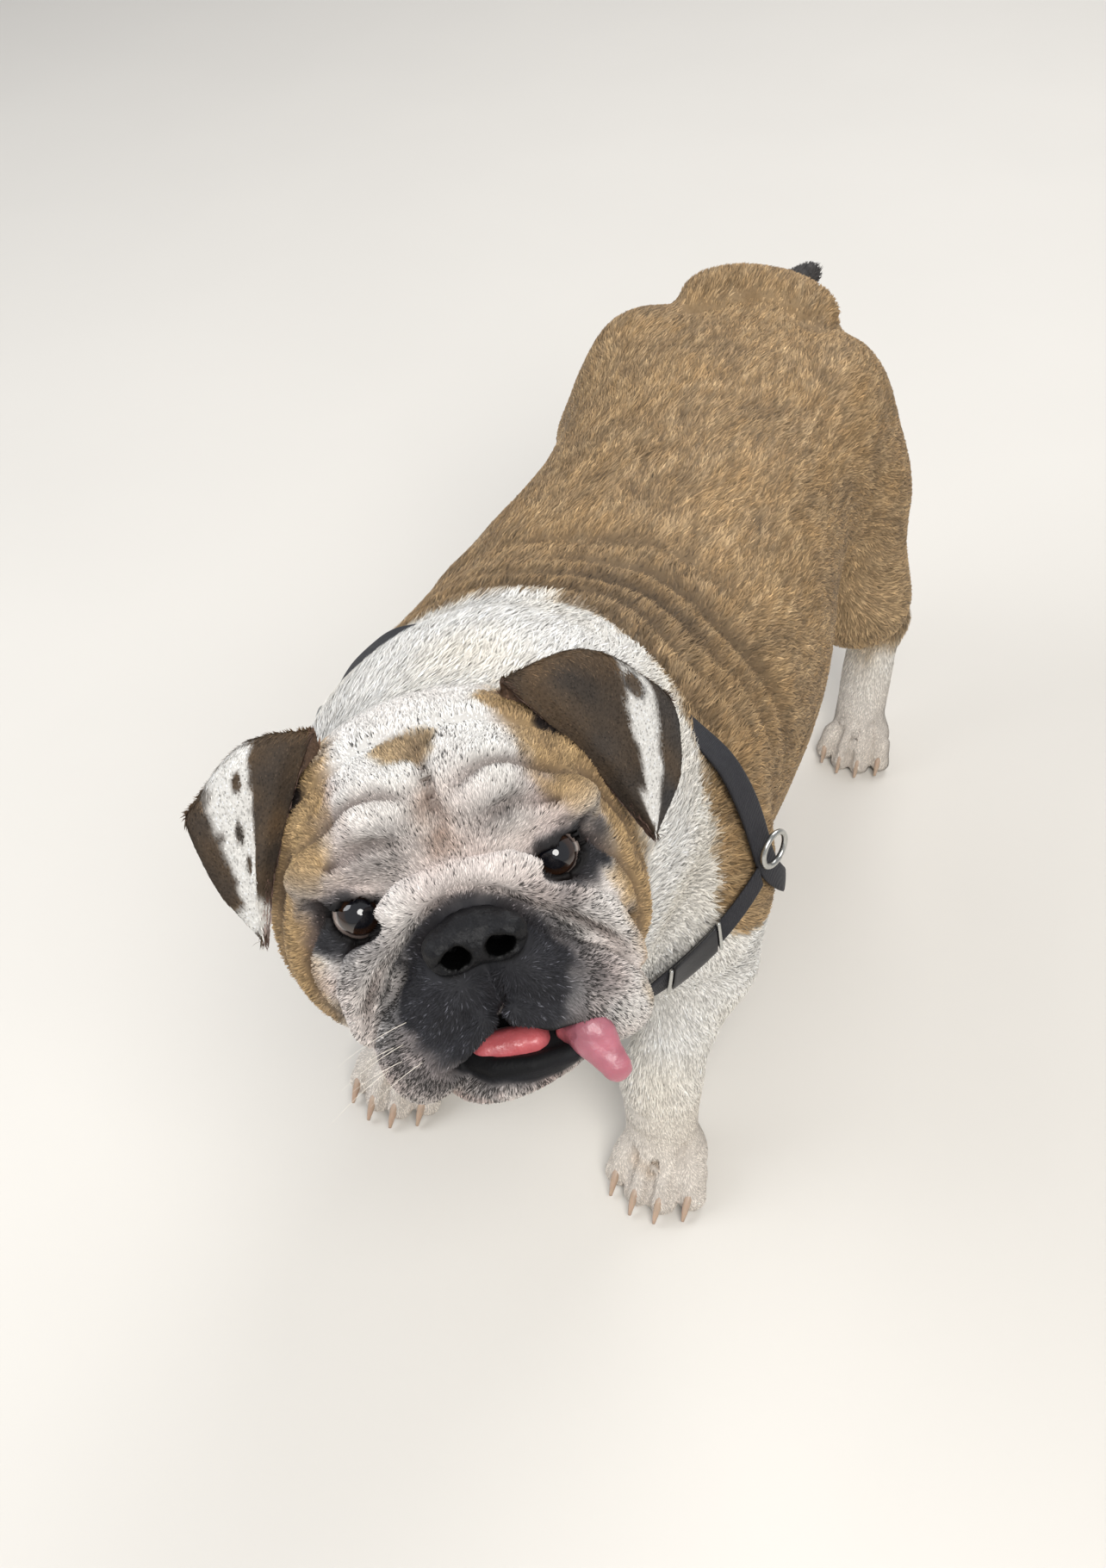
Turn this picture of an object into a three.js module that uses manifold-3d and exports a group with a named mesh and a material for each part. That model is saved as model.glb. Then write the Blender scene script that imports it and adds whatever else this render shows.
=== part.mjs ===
// English bulldog standing, head lifted, turned and tilted toward its left front.
// Millimetres, +Z up, the dog faces -Y and its left side is +X; the paws stand on z = 0.
import * as THREE from 'three';
import { mergeVertices } from 'three/addons/utils/BufferGeometryUtils.js';
import Module from 'manifold-3d';

const wasm = await Module();
wasm.setup();
const { Manifold, Mesh } = wasm;

// Driving sizes of the trunk: a row of oval sections along the back.
// at = place along Y, top and keel = heights of back and belly, half = half width.
const TRUNK = [
  { name: 'breast', at: -262, top: 330, keel: 200, half: 62 },
  { name: 'forechest', at: -225, top: 372, keel: 158, half: 108 },
  { name: 'shoulder', at: -160, top: 392, keel: 142, half: 133 },
  { name: 'chest', at: -80, top: 392, keel: 142, half: 138 },
  { name: 'ribs', at: 0, top: 388, keel: 152, half: 133 },
  { name: 'waist', at: 80, top: 391, keel: 180, half: 119 },
  { name: 'loin', at: 160, top: 396, keel: 214, half: 112 },
  { name: 'hips', at: 230, top: 392, keel: 226, half: 103 },
  { name: 'croup', at: 282, top: 378, keel: 238, half: 80 },
  { name: 'buttock', at: 312, top: 340, keel: 262, half: 46 },
];
const TRUNK_SQUARENESS = 2.25;
// The back swings toward the dog's right by this much at the hips.
const SPINE_BEND = -14;

// Driving sizes of the head, in its own axes: left, forward, up from the point between the eyes.
const HEAD_PLACE = [79.3, -403.7, 472.1];
const HEAD_LEFT = [0.773, 0.628, 0.084];
const HEAD_FORWARD = [0.494, -0.680, 0.542];
const HEAD_UP = [-0.397, 0.378, 0.836];
const EYE_SPACING = 90;
const EYE_RADIUS = 12;
const EYE_DEPTH = -12;
const NOSE_WIDTH = 43;
const TONGUE_FLATNESS = 1.7;
const GAP = 0.32;

// The sizes here are drawn for a back 39.5 cm high; this dog stands a little lower, at 37 cm.
const LIFE_SCALE = 0.945;

// Limbs.
const FORE_PAW = [103, -238, 0];
const HIND_PAW = [108, 214, 0];
const FORE_PAW_WIDTH = 68;
const HIND_PAW_WIDTH = 60;
const CLAW_LENGTH = 17;

// Harness.
const STRAP_WIDTH = 19;
const STRAP_THICKNESS = 2.2;
const STRAP_LIFT = 2.4;
const GIRTH_FRONT = -181;
const GIRTH_BACK = -104;
const BREAST_LOW = 190;
const BREAST_RISE = 86;
const BREAST_HALF = 146;
const BREAST_SWEEP = 1.24;
const SLIDER_AT = 0.86;
const RING_RADIUS = 11;

// Heights and places where one part ends and the next begins.
const CUT_HEAD = -96;
const CUT_NECK = { point: [18, -228, 330], normal: [0.27, -0.76, 0.59] };
const CUT_TRUNK = 42;
const CUT_FORELEG = 138;
const CUT_HINDLEG = 220;
const CUT_PAW = 50;

// Vectors.
const sub = (a, b) => [a[0] - b[0], a[1] - b[1], a[2] - b[2]];
const add = (a, b) => [a[0] + b[0], a[1] + b[1], a[2] + b[2]];
const mul = (a, s) => [a[0] * s, a[1] * s, a[2] * s];
const dot = (a, b) => a[0] * b[0] + a[1] * b[1] + a[2] * b[2];
const cross = (a, b) => [
  a[1] * b[2] - a[2] * b[1], a[2] * b[0] - a[0] * b[2], a[0] * b[1] - a[1] * b[0],
];
const len = (a) => Math.hypot(a[0], a[1], a[2]);
const unit = (a) => mul(a, 1 / len(a));
const mix = (a, b, t) => a + (b - a) * t;
const clamp = (v, lo, hi) => Math.min(hi, Math.max(lo, v));

// Head axes made square, and the change between head and room.
const HF = unit(HEAD_FORWARD);
const HL = unit(sub(HEAD_LEFT, mul(HF, dot(HEAD_LEFT, HF))));
const HU = cross(HF, HL);
const headOut = (p) => add(HEAD_PLACE, add(mul(HL, p[0]), add(mul(HF, p[1]), mul(HU, p[2]))));
const headIn = (p) => {
  const q = sub(p, HEAD_PLACE);
  return [dot(q, HL), dot(q, HF), dot(q, HU)];
};

// Distance shapes: negative inside.
const egg = (p, c, r) => {
  const x = (p[0] - c[0]) / r[0];
  const y = (p[1] - c[1]) / r[1];
  const z = (p[2] - c[2]) / r[2];
  const k0 = Math.hypot(x, y, z);
  const k1 = Math.hypot(x / r[0], y / r[1], z / r[2]);
  return k1 < 1e-9 ? -Math.min(r[0], r[1], r[2]) : (k0 * (k0 - 1)) / k1;
};
const limb = (p, a, b, ra, rb) => {
  const ab = sub(b, a);
  const ap = sub(p, a);
  const t = clamp(dot(ap, ab) / dot(ab, ab), 0, 1);
  return len(sub(ap, mul(ab, t))) - mix(ra, rb, t);
};
const join = (a, b, k) => {
  const h = Math.max(k - Math.abs(a - b), 0) / k;
  return Math.min(a, b) - h * h * k * 0.25;
};
const carve = (a, b, k) => -join(-a, b, k);
// A smooth value through the trunk's rows.
const rowAt = (key, y) => {
  const last = TRUNK.length - 1;
  let i = 0;
  while (i < last - 1 && y > TRUNK[i + 1].at) i += 1;
  const a = TRUNK[i];
  const b = TRUNK[i + 1];
  const p = TRUNK[Math.max(0, i - 1)];
  const q = TRUNK[Math.min(last, i + 2)];
  const t = clamp((y - a.at) / (b.at - a.at), 0, 1);
  const ma = i === 0 ? b[key] - a[key] : ((b[key] - p[key]) / (b.at - p.at)) * (b.at - a.at);
  const mb = i === last - 1 ? b[key] - a[key]
    : ((q[key] - a[key]) / (q.at - a.at)) * (b.at - a.at);
  const t2 = t * t;
  const t3 = t2 * t;
  return (2 * t3 - 3 * t2 + 1) * a[key] + (t3 - 2 * t2 + t) * ma
    + (3 * t2 - 2 * t3) * b[key] + (t3 - t2) * mb;
};
const FRONT = TRUNK[0];
const BACK = TRUNK[TRUNK.length - 1];

const bend = (y) => SPINE_BEND * clamp((y - 30) / 190, 0, 1) ** 1.5;
function trunk(at) {
  const p = [at[0] - bend(at[1]), at[1], at[2]];
  const y = clamp(p[1], FRONT.at, BACK.at);
  const top = rowAt('top', y);
  const keel = rowAt('keel', y);
  const half = rowAt('half', y);
  const mid = mix(keel, top, 0.55);
  const tall = p[2] > mid ? top - mid : mid - keel;
  const n = TRUNK_SQUARENESS;
  const round = (Math.abs(p[0] / half) ** n + Math.abs((p[2] - mid) / tall) ** n) ** (1 / n);
  const across = (round - 1) * Math.min(half, tall);
  const past = Math.abs(p[1] - y);
  return past === 0 ? across : (across > 0 ? Math.hypot(across, past * 1.6) : across + past * 1.6);
}

// The limbs mirror across x; side is +1 on the dog's left.
function foreleg(p) {
  const q = [Math.abs(p[0]), p[1], p[2]];
  const shoulder = egg(q, [98, -168, 262], [46, 64, 82]);
  const arm = limb(q, [102, -188, 235], [106, -174, 172], 46, 35);
  const forearm = limb(q, [106, -180, 168], [92, -216, 78], 34, 26);
  const wrist = limb(q, [93, -216, 80], [98, -230, 34], 27, 26);
  return join(join(shoulder, arm, 40), join(forearm, wrist, 16), 26);
}
function hindleg(p) {
  const swing = bend(p[1]) * clamp((p[2] - 120) / 140, 0, 1);
  const q = [Math.abs(p[0] - swing), p[1], p[2]];
  const haunch = egg(q, [77, 212, 290], [51, 82, 96]);
  const thigh = limb(q, [86, 205, 262], [104, 178, 206], 58, 44);
  const gaskin = limb(q, [104, 186, 200], [104, 262, 118], 42, 25);
  const heel = limb(q, [103, 268, 112], [103, 282, 122], 22, 15);
  const shank = limb(q, [103, 264, 108], [104, 226, 34], 23, 22);
  return join(join(haunch, thigh, 40), join(join(gaskin, heel, 14), shank, 14), 24);
}
function paw(p, place, width) {
  const s = width / FORE_PAW_WIDTH;
  const q = [(Math.abs(p[0]) - place[0]) / s, (p[1] - place[1]) / s, (p[2] - place[2]) / s];
  let d = egg(q, [0, 2, 19.5], [30, 31, 22]);
  for (let i = 0; i < 4; i += 1) {
    const middle = i === 1 || i === 2;
    const x = (i - 1.5) * 16.5;
    const reach = middle ? -31 : -21;
    d = join(d, limb(q, [x * 0.9, -8, 24], [x * 1.08, reach + 7, 8.8], 11, 11), 5);
  }
  return d * s;
}
// Head in its own axes; q has the left and right halves folded together.
const lowerShift = (u) => 7 * clamp((-u - 20) / 50, 0, 1);
function headFlesh(l) {
  const p = [l[0] - lowerShift(l[2]), l[1], l[2]];
  const q = [Math.abs(p[0]), p[1], p[2]];
  const leftSide = clamp(p[0] / 30, -1, 1);
  let d = egg(q, [0, -76, 10], [79, 80, 61]);
  d = join(d, egg(q, [50, -54, -26], [37, 48, 46]), 22);
  d = join(d, egg(q, [22, -24, 32], [29, 28, 27]), 12);
  d = join(d, egg(q, [48, -20, 19], [26, 19, 15]), 10);
  d = join(d, egg(q, [0, -62, -58], [56, 58, 42]), 26);
  d = join(d, egg(q, [40, -20, -28], [30, 24, 24]), 14);
  d = join(d, egg(q, [0, 4, -14], [34, 28, 24]), 12);
  const flew = join(
    limb(q, [15, 20, -36], [40, 8, -62], 20, 21),
    limb(q, [40, 8, -62], [46, 7, -71.5 + 1.5 * leftSide], 20, 15), 8);
  d = join(d, flew, 9);
  const rope = Math.min(
    limb(q, [0, 19, 9], [22, 19, 6], 9, 9.5),
    limb(q, [22, 19, 6], [42, 12, -9], 9.5, 10),
    limb(q, [42, 12, -9], [56, 2, -30], 10, 10),
    limb(q, [56, 2, -30], [60, -8, -54], 10, 8));
  d = join(d, rope, 5);
  return d;
}
function mouthHollow(l) {
  const p = [l[0] - 7, l[1], l[2]];
  return egg(p, [0, 20, -67], [31, 26, 13]);
}
function chin(l) {
  const p = [l[0] - 8, l[1], l[2] - 0.12 * (l[0] - 8)];
  return join(egg(p, [0, 5, -82], [34, 26, 13]), egg(p, [0, -26, -78], [47, 38, 21]), 16);
}
function orbit(l) {
  const q = [Math.abs(l[0]), l[1], l[2]];
  return egg(q, [EYE_SPACING / 2, 7, 0], [13, 12, 9]);
}
function nosePad(l) {
  const q = [Math.abs(l[0]), l[1], l[2]];
  const h = NOSE_WIDTH / 2;
  let d = egg(q, [0, 31, -12], [h - 2, 13, 13]);
  d = join(d, egg(q, [h - 9, 33, -16], [10, 9, 9]), 6);
  return carve(d, egg(q, [9.5, 44, -18], [4.2, 8, 4]), 2);
}
function tongue(l) {
  const inner = limb(l, [-8, 6, -70], [20, 12, -71], 8.5, 8.5);
  const q = [l[0], l[1] * TONGUE_FLATNESS, l[2]];
  const flat = (x, f, u) => [x, f * TONGUE_FLATNESS, u];
  const side = limb(q, flat(20, 15, -70), flat(38, 27, -73), 6, 7.5);
  const tip = limb(q, flat(38, 27, -73), flat(49, 33, -88), 7.5, 6);
  return join(join(inner, side, 6), tip, 6);
}

// Ears as folded leaves; each corner is a named place in head axes.
const EAR = {
  right: {
    rootFront: [-62, -66, 52], rootTop: [-44, -74, 66], rootLow: [-74, -62, 14],
    foldIn: [-46, -62, 74], foldMid: [-76, -64, 72], foldOut: [-108, -58, 54],
    tip: [-91, -30, -6], frontMid: [-76, -42, 28], outerMid: [-106, -44, 24],
  },
  left: {
    rootFront: [62, -68, 50], rootTop: [46, -76, 64], rootLow: [76, -66, 10],
    foldIn: [50, -62, 70], foldMid: [88, -70, 68], foldOut: [122, -76, 40],
    tip: [95, -40, -15], frontMid: [78, -48, 22], outerMid: [117, -58, 8],
  },
};
const EAR_THICKNESS = 6;

// A place on the ear: v runs from root over the fold to the tip, u from the inner edge outward.
function earPlace(e, u, v) {
  const rows = [
    [e.rootTop, mul(add(e.rootTop, e.rootLow), 0.5), e.rootLow],
    [e.foldIn, e.foldMid, e.foldOut],
    [e.frontMid, mul(add(e.foldMid, e.tip), 0.5), e.outerMid],
    [e.tip, e.tip, e.tip],
  ];
  const cubic = (a, b, c, d, t) => [0, 1, 2].map((k) => 0.5 * (2 * b[k] + (c[k] - a[k]) * t
    + (2 * a[k] - 5 * b[k] + 4 * c[k] - d[k]) * t * t
    + (3 * b[k] - a[k] - 3 * c[k] + d[k]) * t * t * t));
  const along = (r, t) => {
    const s = clamp(t, 0, 1) * 2;
    const i = Math.min(1, Math.floor(s));
    const before = i === 0 ? sub(mul(r[0], 2), r[1]) : r[0];
    const after = i === 1 ? sub(mul(r[2], 2), r[1]) : r[2];
    return cubic(before, r[i], r[i + 1], after, s - i);
  };
  const w = clamp(v, 0, 1) * 3;
  const j = Math.min(2, Math.floor(w));
  const spots = rows.map((r) => along(r, u));
  const before = j === 0 ? sub(mul(spots[0], 2), spots[1]) : spots[j - 1];
  const after = j === 2 ? sub(mul(spots[3], 2), spots[2]) : spots[j + 2];
  return cubic(before, spots[j], spots[j + 1], after, w - j);
}

// The whole of the flesh, without ears.
const NECK_BACK = [2, -178, 306];
const NECK_MIDDLE = [16, -262, 356];
const NECK_FRONT = headOut([0, -92, -12]);
function body(p) {
  let d = trunk(p);
  d = join(d, foreleg(p), 20);
  d = join(d, hindleg(p), 26);
  d = join(d, egg(p, [-16, 282, 374], [64, 34, 28]), 20);
  d = join(d, limb(p, NECK_BACK, NECK_MIDDLE, 112, 106), 44);
  d = join(d, limb(p, NECK_MIDDLE, NECK_FRONT, 106, 84), 30);
  d = join(d, limb(p, [52, -330, 340], [24, -232, 238], 52, 74), 36);
  d = join(d, paw(p, FORE_PAW, FORE_PAW_WIDTH), 9);
  d = join(d, paw(p, HIND_PAW, HIND_PAW_WIDTH), 9);
  d = join(d, limb(p, [-4, 302, 374], [8, 332, 376], 17, 11), 8);
  const l = headIn(p);
  if (len(l) < 260) {
    d = join(d, carve(carve(headFlesh(l), mouthHollow(l), 6), orbit(l), 6), 24);
  }
  return d;
}

// Meshing: one vertex in each grid cell that the surface crosses, pulled onto the surface.
// The grid is moved a little until the surface closes cleanly.
function skinOf(field, lo, hi, cell) {
  for (let attempt = 0; attempt < 12; attempt += 1) {
    const shift = attempt * 0.37 * cell;
    const moved = [lo[0] - (shift % cell), lo[1] - ((shift * 1.7) % cell),
      lo[2] - ((shift * 2.3) % cell)];
    try {
      return netOf(field, moved, hi, cell);
    } catch (error) {
      if (attempt === 11) throw error;
    }
  }
  return null;
}

function netOf(field, lo, hi, cell) {
  const n = [0, 1, 2].map((k) => Math.ceil((hi[k] - lo[k]) / cell) + 1);
  const at = (i, j, k) => [lo[0] + i * cell, lo[1] + j * cell, lo[2] + k * cell];
  const id = (i, j, k) => (k * n[1] + j) * n[0] + i;
  const value = new Float64Array(n[0] * n[1] * n[2]);
  for (let k = 0; k < n[2]; k += 1) {
    for (let j = 0; j < n[1]; j += 1) {
      for (let i = 0; i < n[0]; i += 1) {
        const rim = i === 0 || j === 0 || k === 0
          || i === n[0] - 1 || j === n[1] - 1 || k === n[2] - 1;
        value[id(i, j, k)] = rim ? cell : field(at(i, j, k)) || 1e-6;
      }
    }
  }
  // Where the surface could pass a grid square two ways, the weakest corner is taken inside.
  for (let pass = 0, again = true; again && pass < 20; pass += 1) {
    again = false;
    for (let k = 1; k < n[2] - 2; k += 1) {
      for (let j = 1; j < n[1] - 2; j += 1) {
        for (let i = 1; i < n[0] - 2; i += 1) {
          for (let axis = 0; axis < 3; axis += 1) {
            const ring = [[0, 0], [1, 0], [1, 1], [0, 1]].map(([u, v]) => {
              const s = [i, j, k];
              s[(axis + 1) % 3] += u;
              s[(axis + 2) % 3] += v;
              return id(...s);
            });
            const inside = ring.map((c) => value[c] < 0);
            if (inside[0] === inside[2] && inside[1] === inside[3] && inside[0] !== inside[1]) {
              const out = ring.filter((c) => value[c] >= 0);
              const weakest = value[out[0]] < value[out[1]] ? out[0] : out[1];
              value[weakest] = -cell * 0.02;
              again = true;
            }
          }
        }
      }
    }
  }
  const spots = new Map();
  const points = [];
  const gradient = (p) => {
    const e = 0.4;
    return [0, 1, 2].map((k) => {
      const a = [...p];
      const b = [...p];
      a[k] += e;
      b[k] -= e;
      return (field(a) - field(b)) / (2 * e);
    });
  };
  const vertexOf = (i, j, k) => {
    const key = id(i, j, k);
    if (spots.has(key)) return spots.get(key);
    let sum = [0, 0, 0];
    let count = 0;
    for (let e = 0; e < 12; e += 1) {
      const axis = Math.floor(e / 4);
      const u = e & 1;
      const v = (e >> 1) & 1;
      const a = [i, j, k];
      a[(axis + 1) % 3] += u;
      a[(axis + 2) % 3] += v;
      const b = [...a];
      b[axis] += 1;
      const fa = value[id(...a)];
      const fb = value[id(...b)];
      if (fa < 0 !== fb < 0) {
        const t = fa / (fa - fb);
        const pa = at(...a);
        pa[axis] += t * cell;
        sum = add(sum, pa);
        count += 1;
      }
    }
    let p = mul(sum, 1 / count);
    const home = p;
    for (let step = 0; step < 3; step += 1) {
      const g = gradient(p);
      const s = Math.max(dot(g, g), 0.25);
      p = sub(p, mul(g, field(p) / s));
    }
    const drift = sub(p, home);
    const far = len(drift);
    if (far > cell * 0.6) p = add(home, mul(drift, (cell * 0.6) / far));
    points.push(p);
    spots.set(key, points.length - 1);
    return points.length - 1;
  };
  const faces = [];
  for (let axis = 0; axis < 3; axis += 1) {
    const b = (axis + 1) % 3;
    const c = (axis + 2) % 3;
    for (let k = 0; k < n[2]; k += 1) {
      for (let j = 0; j < n[1]; j += 1) {
        for (let i = 0; i < n[0]; i += 1) {
          const s = [i, j, k];
          if (s[axis] >= n[axis] - 1 || s[b] < 1 || s[c] < 1) continue;
          const e = [...s];
          e[axis] += 1;
          const fa = value[id(...s)];
          const fb = value[id(...e)];
          if (fa < 0 === fb < 0) continue;
          const cellAt = (du, dv) => {
            const o = [...s];
            o[b] -= du;
            o[c] -= dv;
            return vertexOf(...o);
          };
          const quad = [cellAt(1, 1), cellAt(0, 1), cellAt(0, 0), cellAt(1, 0)];
          if (fa > 0) quad.reverse();
          const d0 = len(sub(points[quad[0]], points[quad[2]]));
          const d1 = len(sub(points[quad[1]], points[quad[3]]));
          if (d0 < d1) {
            faces.push([quad[0], quad[1], quad[2]], [quad[0], quad[2], quad[3]]);
          } else {
            faces.push([quad[1], quad[2], quad[3]], [quad[1], quad[3], quad[0]]);
          }
        }
      }
    }
  }
  return solid(points, faces);
}

function solid(points, faces) {
  const made = new Manifold(new Mesh({
    numProp: 3,
    vertProperties: new Float32Array(points.flat()),
    triVerts: new Uint32Array(faces.flat()),
  }));
  made.drawn = { points, faces };
  return made;
}

// The height of the flattest triangle, to tell a clean cut from one with slivers.
function thinnest(m) {
  const mesh = m.getMesh();
  const spot = (i) => [0, 1, 2].map((k) => mesh.vertProperties[i * mesh.numProp + k]);
  let least = Infinity;
  for (let i = 0; i < mesh.triVerts.length; i += 3) {
    const [a, b, c] = [0, 1, 2].map((k) => spot(mesh.triVerts[i + k]));
    const longest = Math.max(len(sub(a, b)), len(sub(b, c)), len(sub(c, a)));
    least = Math.min(least, len(cross(sub(b, a), sub(c, a))) / longest);
  }
  return least;
}

// Cuts a drawn surface, moving it by a few hundredths until the cut leaves no slivers.
function trimmed(drawn, cut) {
  let best = null;
  let bestThin = -1;
  for (let k = 0; k < 60; k += 1) {
    const d = [0, 1, 2].map((i) => 0.035 * Math.sin(k * (7.3 + 5.1 * i)));
    const moved = solid(drawn.drawn.points.map((p) => add(p, d)), drawn.drawn.faces);
    const made = largest(cut(moved));
    const thin = thinnest(made);
    if (thin > bestThin) [best, bestThin] = [made, thin];
    if (bestThin > 0.006) break;
  }
  return best;
}

// A block between two corners, and the side of a plane that its normal points to.
function block(lo, hi) {
  const points = [];
  for (let i = 0; i < 8; i += 1) {
    points.push([i & 1 ? hi[0] : lo[0], i & 2 ? hi[1] : lo[1], i & 4 ? hi[2] : lo[2]]);
  }
  return solid(points, [
    [0, 2, 3], [0, 3, 1], [4, 5, 7], [4, 7, 6], [0, 1, 5], [0, 5, 4],
    [2, 6, 7], [2, 7, 3], [0, 4, 6], [0, 6, 2], [1, 3, 7], [1, 7, 5],
  ]);
}
function halfSpace(point, normal, shift) {
  const n = unit(normal);
  const a = unit(cross(n, Math.abs(n[2]) < 0.9 ? [0, 0, 1] : [1, 0, 0]));
  const b = cross(n, a);
  const o = add(point, mul(n, shift));
  const S = 1500;
  const corner = (x, y, z) => add(o, add(mul(a, x * S), add(mul(b, y * S), mul(n, z * S))));
  const points = [];
  for (let i = 0; i < 8; i += 1) {
    points.push(corner(i & 1 ? 1 : -1, i & 2 ? 1 : -1, i & 4 ? 1 : 0));
  }
  return solid(points, [
    [0, 2, 3], [0, 3, 1], [4, 5, 7], [4, 7, 6], [0, 1, 5], [0, 5, 4],
    [2, 6, 7], [2, 7, 3], [0, 4, 6], [0, 6, 2], [1, 3, 7], [1, 7, 5],
  ]);
}
// A closed thin sheet; at(u, v) gives the outer and the inner place.
function sheet(nu, nv, at, loops = false) {
  const points = [];
  const faces = [];
  const rows = loops ? nv : nv + 1;
  for (let layer = 0; layer < 2; layer += 1) {
    for (let j = 0; j < rows; j += 1) {
      for (let i = 0; i <= nu; i += 1) points.push(at(i / nu, j / nv)[layer]);
    }
  }
  const id = (layer, i, j) => layer * rows * (nu + 1) + (j % rows) * (nu + 1) + i;
  const quad = (a, b, c, d) => faces.push([a, b, c], [a, c, d]);
  for (let j = 0; j < nv; j += 1) {
    for (let i = 0; i < nu; i += 1) {
      quad(id(0, i, j), id(0, i + 1, j), id(0, i + 1, j + 1), id(0, i, j + 1));
      quad(id(1, i, j), id(1, i, j + 1), id(1, i + 1, j + 1), id(1, i + 1, j));
    }
    quad(id(0, 0, j), id(0, 0, j + 1), id(1, 0, j + 1), id(1, 0, j));
    quad(id(0, nu, j), id(1, nu, j), id(1, nu, j + 1), id(0, nu, j + 1));
  }
  if (!loops) {
    for (let i = 0; i < nu; i += 1) {
      quad(id(0, i, 0), id(1, i, 0), id(1, i + 1, 0), id(0, i + 1, 0));
      quad(id(0, i, nv), id(0, i + 1, nv), id(1, i + 1, nv), id(1, i, nv));
    }
  }
  const made = solid(points, faces);
  return made.volume() > 0 ? made : solid(points, faces.map(([a, b, c]) => [a, c, b]));
}

// A round rod through places with a radius at each; closed makes a ring.
function rod(spots, radii, sides, closed = false) {
  const count = spots.length;
  const points = [];
  const faces = [];
  let lean = [0, 0, 1];
  spots.forEach((p, i) => {
    const q = closed ? spots[(i + 1) % count] : spots[Math.min(i + 1, count - 1)];
    const o = closed ? spots[(i + count - 1) % count] : spots[Math.max(i - 1, 0)];
    const t = unit(sub(q, o));
    if (Math.abs(dot(lean, t)) > 0.9) lean = [1, 0, 0];
    const a = unit(sub(lean, mul(t, dot(lean, t))));
    const b = cross(t, a);
    lean = a;
    for (let k = 0; k < sides; k += 1) {
      const w = (2 * Math.PI * k) / sides;
      points.push(add(p, add(mul(a, radii[i] * Math.cos(w)), mul(b, radii[i] * Math.sin(w)))));
    }
  });
  const rings = closed ? count : count - 1;
  for (let i = 0; i < rings; i += 1) {
    for (let k = 0; k < sides; k += 1) {
      const k2 = (k + 1) % sides;
      const j = (i + 1) % count;
      faces.push([i * sides + k, i * sides + k2, j * sides + k2]);
      faces.push([i * sides + k, j * sides + k2, j * sides + k]);
    }
  }
  if (!closed) {
    for (let k = 1; k < sides - 1; k += 1) {
      const base = (count - 1) * sides;
      faces.push([0, k + 1, k], [base, base + k, base + k + 1]);
    }
  }
  const made = solid(points, faces);
  return made.volume() > 0 ? made : solid(points, faces.map(([a, b, c]) => [a, c, b]));
}

// One claw, from inside its toe to a blunt end just over the floor.
function claw(side, place0, width, i) {
  const s = width / FORE_PAW_WIDTH;
  const middle = i === 1 || i === 2;
  const x = (i - 1.5) * 17.8;
  const root = middle ? -24 : -15;
  const spot = (dx, y, z) => [side * (place0[0] + (x + dx) * s), place0[1] + y * s, z * s];
  const out = CLAW_LENGTH * (width < FORE_PAW_WIDTH ? 0.85 : 1);
  return rod([spot(0, root, 17), spot(0, root - 9, 15), spot(0, root - out, 9.5),
    spot(0, root - out - 8, 2.6)], [4.6, 4.4, 3.5, 1.6], 6);
}

const largest = (m) => m.decompose().sort((a, b) => b.volume() - a.volume())[0];

const group = new THREE.Group();
group.name = 'english_bulldog';

function place(name, m, colour, roughness, metalness = 0) {
  const mesh = m.getMesh();
  const geometry = new THREE.BufferGeometry();
  const count = mesh.vertProperties.length / mesh.numProp;
  const positions = new Float32Array(count * 3);
  for (let i = 0; i < count; i += 1) {
    for (let k = 0; k < 3; k += 1) {
      positions[i * 3 + k] = mesh.vertProperties[i * mesh.numProp + k];
    }
  }
  geometry.setAttribute('position', new THREE.BufferAttribute(positions, 3));
  geometry.setIndex([...mesh.triVerts]);
  const clean = mergeVertices(geometry, 1e-3);
  clean.computeVertexNormals();
  const material = new THREE.MeshStandardMaterial({ color: colour, roughness, metalness });
  const part = new THREE.Mesh(clean, material);
  part.name = name;
  group.add(part);
}

const FAWN = 0x96784f;
const WHITE = 0xeae7e0;
const FACE = 0xd2c8be;
const DARK = 0x2d2c2f;
const PINK = 0xc4686f;
const BLACK = 0x1a1a1e;
const STEEL = 0xb8b8b4;

// Head, with the sockets cut for the eyes.
const eyeAt = (side) => headOut([(side * EYE_SPACING) / 2, EYE_DEPTH, 0]);
const ball = (centre, radius, cell) => skinOf((p) => len(sub(p, centre)) - radius,
  centre.map((v) => v - radius - 2 * cell), centre.map((v) => v + radius + 2 * cell), cell);
const headBox = [[-70, -530, 330], [230, -230, 600]];
const headSide = halfSpace(headOut([0, CUT_HEAD, 0]), HF, GAP / 2);
const headField = (p) => body(p);
const headCell = 13.2;
const headWhole = skinOf(headField, ...headBox, headCell);
const headGrown = skinOf((p) => headField(p) - GAP, ...headBox, headCell);
const sockets = [1, -1].map((s) => ball(eyeAt(s), EYE_RADIUS + GAP, 6));
const noseField = (p) => nosePad(headIn(p));
const noseBox = [headOut([0, 32, -13]).map((v) => v - 34), headOut([0, 32, -13]).map((v) => v + 34)];
const nose = skinOf(noseField, ...noseBox, 6);
const noseGrown = skinOf((p) => noseField(p) - GAP, ...noseBox, 6);
const chinField = (p) => chin(headIn(p));
const chinBox = [headOut([8, 0, -92]).map((v) => v - 90), headOut([8, 0, -92]).map((v) => v + 90)];
const head = trimmed(headWhole, (m) => m.intersect(headSide).subtract(sockets[0])
  .subtract(sockets[1]).subtract(noseGrown));
place('head', head, FACE, 0.85);
place('nose', nose, DARK, 0.45);
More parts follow.
